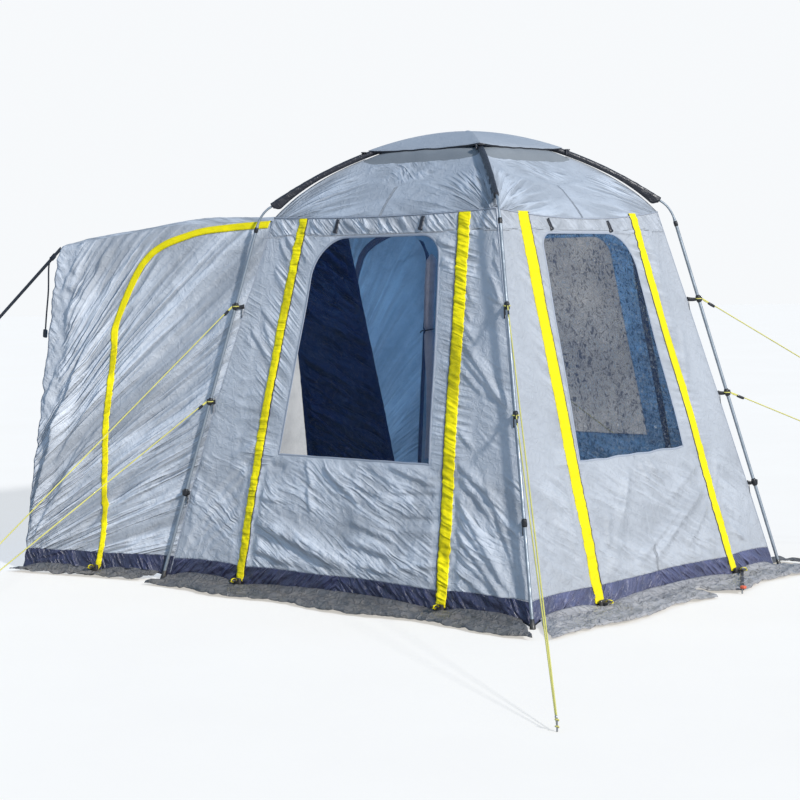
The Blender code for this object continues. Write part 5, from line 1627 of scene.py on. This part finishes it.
class AWNING_OT_guys(Operator):
    """Make the taut guy ropes with their loops, tensioners and pegs"""

    bl_idname = "awning.guys"
    bl_label = "Guy ropes and pegs"

    def execute(self, context):
        sizes = context.scene.awning_sizes
        for name, (side_x, side_y) in CORNERS.items():
            self.make_guy(name, side_x, side_y, sizes)
        return {"FINISHED"}

    def make_guy(self, name, side_x, side_y, sizes):
        """Each rope is straight from clip to peg, doubled as far as its tensioner."""
        peg = RIGHT_PEG if side_x > 0 else LEFT_PEG
        foot = np.array([TENT_X + peg[0], side_y * peg[1], 0.0])
        paths, blocks = [], []
        for share, height in zip(CLIP_SHARES[1:], (0.020, 0.045)):
            leg, back = clip_place(side_x, side_y, share)
            knot = foot + height * UP
            start = leg + back * (sizes.leg_radius + 0.012)
            run = unit(knot - start)
            side = level_of(run)
            above = np.cross(side, run)
            t = column(0.0, 1.0, int(np.linalg.norm(knot - start) / ROPE_STEP))
            rope = mix(start, knot, t)
            t = column(0.0, 1.0, int(ROPE_DOUBLED / ROPE_STEP))
            apart = 0.0062 * np.sin(math.pi * t) ** 0.5 * (1.0 - 0.4 * t)
            second = start + run * ROPE_DOUBLED * t - above * apart
            blocks.append(box_block(start + run * (ROPE_DOUBLED + 0.012) - above * 0.004,
                                    (run, side, above), (0.046, 0.009, 0.016), power=4.0))
            turn = column(0.0, 2.0 * math.pi, 40)
            loop = leg + (sizes.leg_radius + 0.0065) * (np.cos(turn) * back + np.sin(turn) * level_of(back))
            wound = knot + 0.0062 * circle(40) + column(-0.003, 0.003, 40) * UP
            paths += [(rope, 1.0), (second, 1.0), (loop, 1.0), (wound, 0.9)]
        ropes = [tube(path, sizes.rope_radius * share, 8, twist=0.014) for path, share in paths]
        add_tubes(f"guy_lines_{name}", ropes, "guy_rope", [f"guy_ropes_{name}"])
        add_tubes(f"guy_tensioners_{name}", blocks, "black_plastic")
        hook = curve([(0, 0, 0.001), (0, 0, 0.040), (0.001, 0, 0.055), (0.005, 0, 0.0585),
                      (0.0075, 0, 0.053)], 0.002)
        pin = tube(foot + hook * np.array([-side_x, 1.0, 1.0]), 0.0033, 12)
        add_tubes(f"guy_peg_{name}", [pin], "peg_steel")


class AWNING_OT_tunnel(Operator):
    """Make the tunnel's sides, roof, arched zips, bands, skirts, draught flaps and end straps"""

    bl_idname = "awning.tunnel"
    bl_label = "Tunnel"

    def execute(self, context):
        sizes = context.scene.awning_sizes
        for name, side in (("front", -1), ("back", 1)):
            self.make_side(name, side, sizes)
            self.make_zip(name, side, sizes)
            self.make_band(name, side, sizes)
            self.make_skirt(name, side, sizes)
            self.make_flap(name, side, sizes)
            self.make_strap(name, side)
            at = np.array([[TUNNEL_ZIP[-1][0]]])
            out = tunnel_out(at, 0.012 + 0.0 * at, sizes.fold_depth) + 0.004
            foot = self.ruffled(side, at, 0.010 + 0.0 * at, out)
            add_foot_fittings(f"{name}_tunnel", foot[0], (-side, 0.0, 0.0), (0.0, side, 0.0))
        self.make_top(sizes)
        return {"FINISHED"}

    def make_side(self, name, side, sizes):
        pitch = sizes.pitch if side < 0 else sizes.far_pitch
        along = row_of(0.0, 1.0, int(1.25 / pitch))
        t = column(0.0, 1.0, int(1.85 / pitch))
        z = mix(tunnel_band_z(along), tunnel_top(along), t)
        points = self.ruffled(side, along, z, tunnel_out(along, z, sizes.fold_depth))
        # The tunnel sides get the lighter copy of the wall cloth: painted light.
        cloth = add_sheet(f"{name}_tunnel_cloth", points, (along * TUNNEL_LENGTH, z), (0, side, 0),
                          "painted_light_wall_cloth", [f"{name}_tunnel_side"], sizes.thickness,
                          drawn=tunnel_drawn(along, z, 1.0 if side < 0 else 0.4))

    def ruffled(self, side, along, z, out):
        """The far edge is gathered, so it also moves to and fro along the tunnel."""
        points = tunnel_point(side, along, z, out)
        near = smooth((along - 0.90) / 0.10)
        drawn_in = 0.042 * smooth(z / 1.9) * smooth((along - 0.55) / 0.45)
        points[..., 0] += 0.012 * near * noise(z / 0.050, 0.0 * z + side, 78) + 0.004 * near + drawn_in
        return points

    def make_zip(self, name, side, sizes):
        """A narrow strip along the arch, on both faces of the cloth."""
        route = curve(TUNNEL_ZIP, 0.006)
        flat = route * np.array([TUNNEL_LENGTH, 1.0])
        run = unit(np.gradient(flat, axis=0))
        length = lengths(flat)[:, None]
        q = row_of(-1.0, 1.0, 9)
        low = smooth((1.5 - route[:, 1:]) / 0.3)
        wave = noise(length / 0.022, q * 0.6, 91) + 0.5 * noise(length / 0.011, q, 92)
        ragged = low * noise(length / 0.016, np.sign(q) * 3.3, 93) * np.abs(q)
        wide = 0.0215 * (1.0 + 0.12 * ragged)
        a = (flat[:, :1] + run[:, 1:] * q * wide) / TUNNEL_LENGTH
        z = np.maximum(flat[:, 1:] - run[:, :1] * q * wide, 0.008)
        bulge = 0.0030 * (1.0 - q**4) + 0.0026 * low * wave * sizes.fold_depth
        for label, lift, finish in (("strip", 0.0035, "yellow_cloth"), ("tape", -0.0050, "navy_cloth")):
            outwards = int(np.sign(lift))
            out = tunnel_out(a, z, sizes.fold_depth) + lift + outwards * bulge
            strip = add_sheet(f"{name}_tunnel_zip_{label}", self.ruffled(side, a, z, out),
                              ((np.abs(q) - 1.0) * wide, length), (0, side * outwards, 0), finish,
                              [f"{name}_tunnel_zip_cover"] if lift > 0 else [],
                              drawn=(length + 0.4 * q * wide, 0.35 * q * wide, 0.0050 * low + 0.0 * q))

    def make_band(self, name, side, sizes):
        along = row_of(0.0, 1.0, 130)
        t = column(0.0, 1.0, 16)
        z = mix(tunnel_hem_z(along), tunnel_band_z(along) + 0.001, t)
        x = along * TUNNEL_LENGTH
        slant = noise((x - 1.8 * z) / 0.075, z / 0.25, 64) + 0.5 * noise((x - 1.3 * z) / 0.034, z / 0.1, 65)
        body = 0.0078 * slant * smooth((1.0 - t) / 0.2) + 0.010 * (1.0 - t) * (tunnel_hem_z(along) / 0.044)
        out = tunnel_out(along, z, sizes.fold_depth) + 0.001 + body * sizes.fold_depth * smooth(along / 0.04)
        points = self.ruffled(side, along, z, out)
        band = add_sheet(f"{name}_tunnel_band_cloth", points, (x, z), (0, side, 0), "navy_cloth",
                         [f"{name}_tunnel_ground_band"], drawn=band_drawn(x - 1.4, z))
        add_webbing(f"{name}_tunnel_hem_cord", [tube(points[0], 0.0042, 8)])

    def make_skirt(self, name, side, sizes):
        along = row_of(0.065, 1.0, 110)
        t = column(0.0, 1.0, 20)
        edge = tunnel_point(side, along, 0.0 * along, 0.0 * along)
        out = t * (0.16 * (1.0 - 0.35 * along) - 0.008) - 0.004
        place = along * TUNNEL_LENGTH
        sharp, fine = peaks(place / 0.110, out / 0.09, 69), peaks(place / 0.055, out / 0.05, 70)
        flat = 0.0026 + sizes.fold_depth * (0.024 * sharp + 0.008 * fine)
        z = mix(tunnel_hem_z(along) + 0.010, flat, smooth((out + 0.004) / 0.045))
        x = edge[..., 0] - 0.12 * np.maximum(out, 0.0)
        points = np.stack([x, edge[..., 1] + side * out, z], -1)
        skirt = add_sheet(f"{name}_tunnel_skirt_sheet", points, (place, out), UP, "skirt_sheet",
                          [f"{name}_tunnel_ground_skirt"])

    def make_flap(self, name, side, sizes):
        """A dark strip that turns in from the tunnel's far edge, gathered like it."""
        t = column(0.0, 1.0, 150)
        s = row_of(0.0, 1.0, 9)
        z = mix(0.004, FAR_TOP_Z - 0.10, t)
        far = 1.0 + 0.0 * z
        edge = self.ruffled(side, far, z, tunnel_out(far, z, sizes.fold_depth))
        reach = mix(0.45, 1.0, t) * FLAP_WIDTH * s
        wave = 0.003 + 0.006 * s * (0.5 + 0.5 * noise(z / 0.055, s * 0.7, 94))
        points = edge + np.stack([-wave, -side * reach, 0.0 * reach], -1)
        flap = add_sheet(f"{name}_flap_cloth", points, (reach, z), FACES["left"], "navy_cloth",
                         [f"{name}_tunnel_draught_flap"])

    def make_top(self, sizes):
        """Arched across; gathered towards the far end, where the strap pulls each corner."""
        along = row_of(0.0, 1.0, 130)
        turn = column(-1.0, 1.0, 190)
        edge = self.ruffled(1, along, tunnel_top(along), 0.0 * along)
        crown = 0.066 * smooth(along / 0.6) - 0.004
        z = edge[..., 2] + crown * (1.0 - np.abs(turn) ** 5)
        x = along * 1.4
        y = turn * edge[..., 1]
        fold = 0.006 * noise(y / 0.30, x / 0.5, 95) + 0.004 * noise((y + 0.4 * x) / 0.09, x / 0.35, 96)
        fold = fold + 0.0018 * crumple(x / 0.10, y / 0.09, 97)
        inside = smooth((1.0 - np.abs(turn)) / 0.06) * smooth(along / 0.04)
        z = z + sizes.fold_depth * fold * inside
        points = np.stack([edge[..., 0] + 0.0 * z, y, z], -1)
        roof = add_sheet("tunnel_canopy", points, (x, y), UP, "wall_cloth", ["tunnel_roof"],
                         sizes.thickness, drawn=(y + 0.35 * x * np.sign(y), 0.3 * x, 0.0080 * inside))

    def make_strap(self, name, side):
        """A flat strap from the tunnel's upper corner to a bent wire hook, and its hanging tail."""
        tip = TENT_X - 2.908
        start = np.array([TENT_X - 2.250, side * 1.000, 1.846])
        end = np.array([tip + 0.045, side * 1.003, 1.432])
        path = mix(start, end, column(0.0, 1.0, 60))
        run = unit(end - start)
        level = np.array([0.0, 1.0, 0.0])
        up = unit(np.cross(level, run))
        flat = np.broadcast_to(level, path.shape)
        grids = [ribbon(path, flat, np.broadcast_to(up, path.shape), 0.0013, 0.0115, 12),
                 box_block(mix(start, end, 0.12), (run, up, level), (0.046, 0.031, 0.006))]
        tail = curve([(0.092, 0.0), (0.112, -0.06), (0.122, -0.20), (0.146, -0.34), (0.162, -0.45)], 0.008)
        tail = start + np.stack([-tail[:, 0], side * 0.006 + 0.0 * tail[:, 0], tail[:, 1] - 0.050], -1)
        along = unit(np.gradient(tail, axis=0))
        flat = np.broadcast_to(level, tail.shape)
        grids.append(ribbon(tail, flat, np.cross(flat, along), 0.0012, 0.0075, 12))
        axes = (along[-1], np.cross(level, along[-1]), level)
        grids.append(box_block(tail[-1], axes, (0.050, 0.032, 0.012)))
        hook = curve([(0.052, 1.436), (0.030, 1.424), (0.012, 1.412), (0.003, 1.408), (0.0025, 1.422),
                      (0.006, 1.434)], 0.002)
        wire = np.stack([tip + hook[:, 0], 0.0 * hook[:, 0] + side * 1.003, hook[:, 1]], -1)
        grids.append(tube(wire, 0.0024, 10))
        add_webbing(f"end_webbing_{name}", grids, [f"van_strap_{name}"])


def door_half(z):
    """Half the doorway's width at a height, its upper corners rounded by quarter turns."""
    straight = mix(DOOR_BASE_HALF, DOOR_TOP_HALF, z / DOOR_TOP)
    rise = np.clip((z - DOOR_TOP + DOOR_ROUND) / DOOR_ROUND, 0.0, 1.0)
    return straight - DOOR_ROUND * (1.0 - np.sqrt(np.maximum(0.0, 1.0 - rise**2)))


class AWNING_OT_doorway(Operator):
    """Make the doorway wall towards the tunnel, its hem and the dark door sheet tied across it"""

    bl_idname = "awning.doorway"
    bl_label = "Doorway"

    def execute(self, context):
        sizes = context.scene.awning_sizes
        low = along_axis((0.004, DOOR_TOP - DOOR_ROUND, 0.012))[:-1]
        turn = np.radians(np.linspace(0.0, 90.0, 19))[:-1]
        beside_door = np.concatenate([low, DOOR_TOP - DOOR_ROUND + DOOR_ROUND * np.sin(turn)])
        self.make_wall(beside_door, sizes)
        self.make_hem(np.append(beside_door, DOOR_TOP))
        self.make_sheet(sizes)
        return {"FINISHED"}

    def make_wall(self, rows, sizes):
        """Columns run to the door's edge, across it and on, so that its outline is a line of the grid."""
        z = np.concatenate([rows, along_axis((DOOR_TOP, EAVE_Z, 0.008))])[:, None]
        half, inner = half_y(z), np.minimum(door_half(z), half_y(z) - 0.01)
        left = mix(-half, -inner, np.linspace(0.0, 1.0, 17)[None, :-1])
        centre = mix(-inner, inner, np.linspace(0.0, 1.0, 81)[None, :-1])
        right = mix(inner, half, row_of(0.0, 1.0, 17))
        x = np.concatenate([left, centre, right], axis=1)
        share = x / half
        z = np.broadcast_to(z, x.shape)
        high = mix(DOOR_TOP, eave_z("left", share), (z - DOOR_TOP) / (EAVE_Z - DOOR_TOP))
        z = np.where(z > DOOR_TOP, high, z)
        keep = np.ones((x.shape[0] - 1, x.shape[1] - 1), bool)
        keep[:len(rows), 16:96] = False
        x = share * half_y(z)
        edge = smooth((half_y(z) - np.abs(x)) / 0.03) * smooth((EAVE_Z - z) / 0.03)
        fold = 0.003 * noise(x / 0.06, z / 0.30, 101) + 0.0014 * crumple(x / 0.08, z / 0.08, 102)
        out = edge * fold * sizes.fold_depth - 0.002 + corner_pull("left", x, z)
        wall = add_sheet("doorway_cloth", wall_points("left", x, z, out), (x, z), FACES["left"], "wall_cloth",
                         ["doorway_wall"], sizes.thickness, keep=keep)

    def make_hem(self, rows):
        inner = door_half(rows)
        top = np.linspace(inner[-1], -inner[-1], 60)[1:-1]
        x = np.concatenate([inner, top, -inner[::-1]])
        z = np.concatenate([rows, DOOR_TOP + 0.0 * top, rows[::-1]])
        path = on_face("left", x, z, -0.001 + 0.0 * x)
        beside, up = face_frame("left", path)
        away = np.sign((beside * (path - np.array([TENT_X, 0.0, 1.0]))).sum(-1).mean())
        hem = ribbon(path + away * DOOR_HEM * beside, beside, up, DOOR_HEM, 0.0020)
        add_tubes("doorway_hem", [hem], "navy_cloth")

    def make_sheet(self, sizes):
        """A straight-sided sheet between four corners, in deep gathers that run down its length."""
        s = row_of(0.0, 1.0, 90)
        t = column(0.0, 1.0, 190)
        x = mix(mix(0.66, 0.16, s), mix(0.07, -0.72, s), t)
        z = mix(1.93, 0.33, t) - 0.03 * np.sin(math.pi * s) * t
        fold = 0.009 * noise(s * 7.0 + 0.6 * t, t * 1.6, 103) + 0.004 * noise(s * 15.0, t * 3.0, 104)
        ridge = 1.0 - np.abs(noise((z - 0.45 * x) / 0.085, s * 1.6, 105)) * 2.2
        inside = smooth(np.minimum(s, 1.0 - s) / 0.14)
        cross = 0.030 * np.maximum(ridge, 0.0) ** 2 * inside + 0.003 * crumple(x / 0.09, z / 0.09, 106)
        points = on_face("left", x, z, -0.034 + (fold + cross) * sizes.fold_depth)
        # The drawn folds are set deep here, to paint dark shade into the sheet's gathers.
        door = add_sheet("door_cloth", points, (x, z), FACES["left"], "door_cloth",
                         ["doorway_door_sheet"],
                         drawn=(0.40 * (z - 0.45 * x), 0.35 * x, 0.060 * inside + 0.0 * z))


class AWNING_OT_stage(Operator):
    """Make the camera at the photograph's angle, the pale floor and the soft lights"""

    bl_idname = "awning.stage"
    bl_label = "Stage"

    def execute(self, context):
        scene = context.scene
        self.make_camera(scene)
        self.make_floor(scene)
        self.make_lights(scene)
        self.make_world(scene)
        scene.view_settings.view_transform = "Standard"
        scene.view_settings.look = "None"
        return {"FINISHED"}

    def make_camera(self, scene):
        data = bpy.data.cameras.new("camera")
        data.lens = 86.0
        data.sensor_width = 36.0
        data.shift_x = -0.0169
        data.shift_y = -0.0095
        data.clip_end = 200.0
        camera = bpy.data.objects.new("camera", data)
        heading = Matrix.Rotation(math.radians(40.821), 4, "Z")
        pitch = Matrix.Rotation(math.radians(90.0 - 3.538), 4, "X")
        roll = Matrix.Rotation(math.radians(-0.954), 4, "Z")
        camera.matrix_world = Matrix.Translation((6.81, -8.156, 1.66)) @ heading @ pitch @ roll
        scene.collection.objects.link(camera)
        scene.camera = camera

    def make_floor(self, scene):
        """A disc in rings whose size grows outwards, so it reaches the horizon with few faces."""
        radius = np.concatenate([[0.01], np.geomspace(1.0, 80.0, 14)])[:, None]
        mesh = make_mesh("floor", [radius[..., None] * circle(96)], closed=(False, True), facing=UP)
        material = bpy.data.materials.new("floor")
        material.use_nodes = True
        tree = material.node_tree
        place = add_node(tree, "TexCoord").outputs["Object"]
        tone = use_group(tree, "Faded tone", {"Vector": place, "Tone": (0.46, 0.46, 0.455, 1.0),
                                              "Faded": (0.44, 0.44, 0.437, 1.0), "Size": 0.8})
        seen = multiply(tree, add_node(tree, "LightPath").outputs["Is Camera Ray"], 0.56)
        feed(tree, tree.nodes["Principled BSDF"],
             {"Base Color": tone["Color"], "Roughness": 0.9, "Emission Color": (1.0, 0.955, 0.88, 1.0),
              "Emission Strength": seen})
        floor = bpy.data.objects.new("floor", mesh)
        mesh.materials.append(material)
        scene.collection.objects.link(floor)

    def make_lights(self, scene):
        sun = bpy.data.lights.new("sun", "SUN")
        sun.energy = 3.4
        sun.angle = math.radians(4.0)
        sun.color = (1.0, 0.975, 0.94)
        lamp = bpy.data.objects.new("sun", sun)
        lamp.rotation_euler = Vector(SUN_TOWARDS).to_track_quat("Z", "Y").to_euler()
        scene.collection.objects.link(lamp)
        for name, place, energy in (("tent_glow", (TENT_X, 0.0, 1.3), 30.0),
                                    ("tunnel_glow", (TENT_X - 1.7, 0.0, 1.1), 24.0)):
            data = bpy.data.lights.new(name, "POINT")
            data.shadow_soft_size = 0.25
            data.energy = energy
            data.color = (0.22, 0.54, 1.0)
            lamp = bpy.data.objects.new(name, data)
            lamp.location = place
            lamp.visible_camera = False
            scene.collection.objects.link(lamp)

    def make_world(self, scene):
        """Pale studio surround: bright to the camera, a cool soft fill for everything else."""
        world = bpy.data.worlds.new("studio")
        world.use_nodes = True
        tree = world.node_tree
        scene.world = world
        fill = feed(tree, tree.nodes["Background"], {0: (0.50, 0.71, 1.0, 1.0), 1: 0.58})
        seen = add_node(tree, "Background", {0: (0.93, 0.95, 0.97, 1.0), 1: 1.0})
        camera_ray = add_node(tree, "LightPath").outputs["Is Camera Ray"]
        blend = add_node(tree, "MixShader", {0: camera_ray, 1: fill.outputs[0], 2: seen.outputs[0]})
        tree.links.new(blend.outputs[0], tree.nodes["World Output"].inputs["Surface"])


class AWNING_PT_pieces(Panel):
    """Sidebar panel that lists the awning's pieces and values"""

    bl_label = "Drive-away awning"
    bl_idname = "AWNING_PT_pieces"
    bl_space_type = "VIEW_3D"
    bl_region_type = "UI"
    bl_category = "Awning"

    def draw(self, context):
        for group in (context.scene.awning_sizes, context.scene.awning_colours):
            box = self.layout.box()
            for key in group.bl_rna.properties.keys():
                if key not in ("rna_type", "name"):
                    box.prop(group, key)
        for operator in OPERATORS:
            self.layout.operator(operator.bl_idname)


OPERATORS = (AWNING_OT_stage, AWNING_OT_finishes, AWNING_OT_walls, AWNING_OT_zip_covers, AWNING_OT_bands,
             AWNING_OT_frame, AWNING_OT_roof, AWNING_OT_tunnel, AWNING_OT_doorway, AWNING_OT_guys)
CLASSES = (AwningSizes, AwningColours) + OPERATORS + (AWNING_PT_pieces,)


def register():
    for item in CLASSES:
        bpy.utils.register_class(item)
    bpy.types.Scene.awning_sizes = PointerProperty(type=AwningSizes)
    bpy.types.Scene.awning_colours = PointerProperty(type=AwningColours)


def unregister():
    del bpy.types.Scene.awning_colours
    del bpy.types.Scene.awning_sizes
    for item in reversed(CLASSES):
        bpy.utils.unregister_class(item)


def main():
    register()
    awning = bpy.ops.awning
    awning.finishes()
    awning.stage()
    awning.walls()
    awning.zip_covers()
    awning.bands()
    awning.frame()
    awning.roof()
    awning.tunnel()
    awning.doorway()
    awning.guys()


if __name__ == "__main__":
    main()
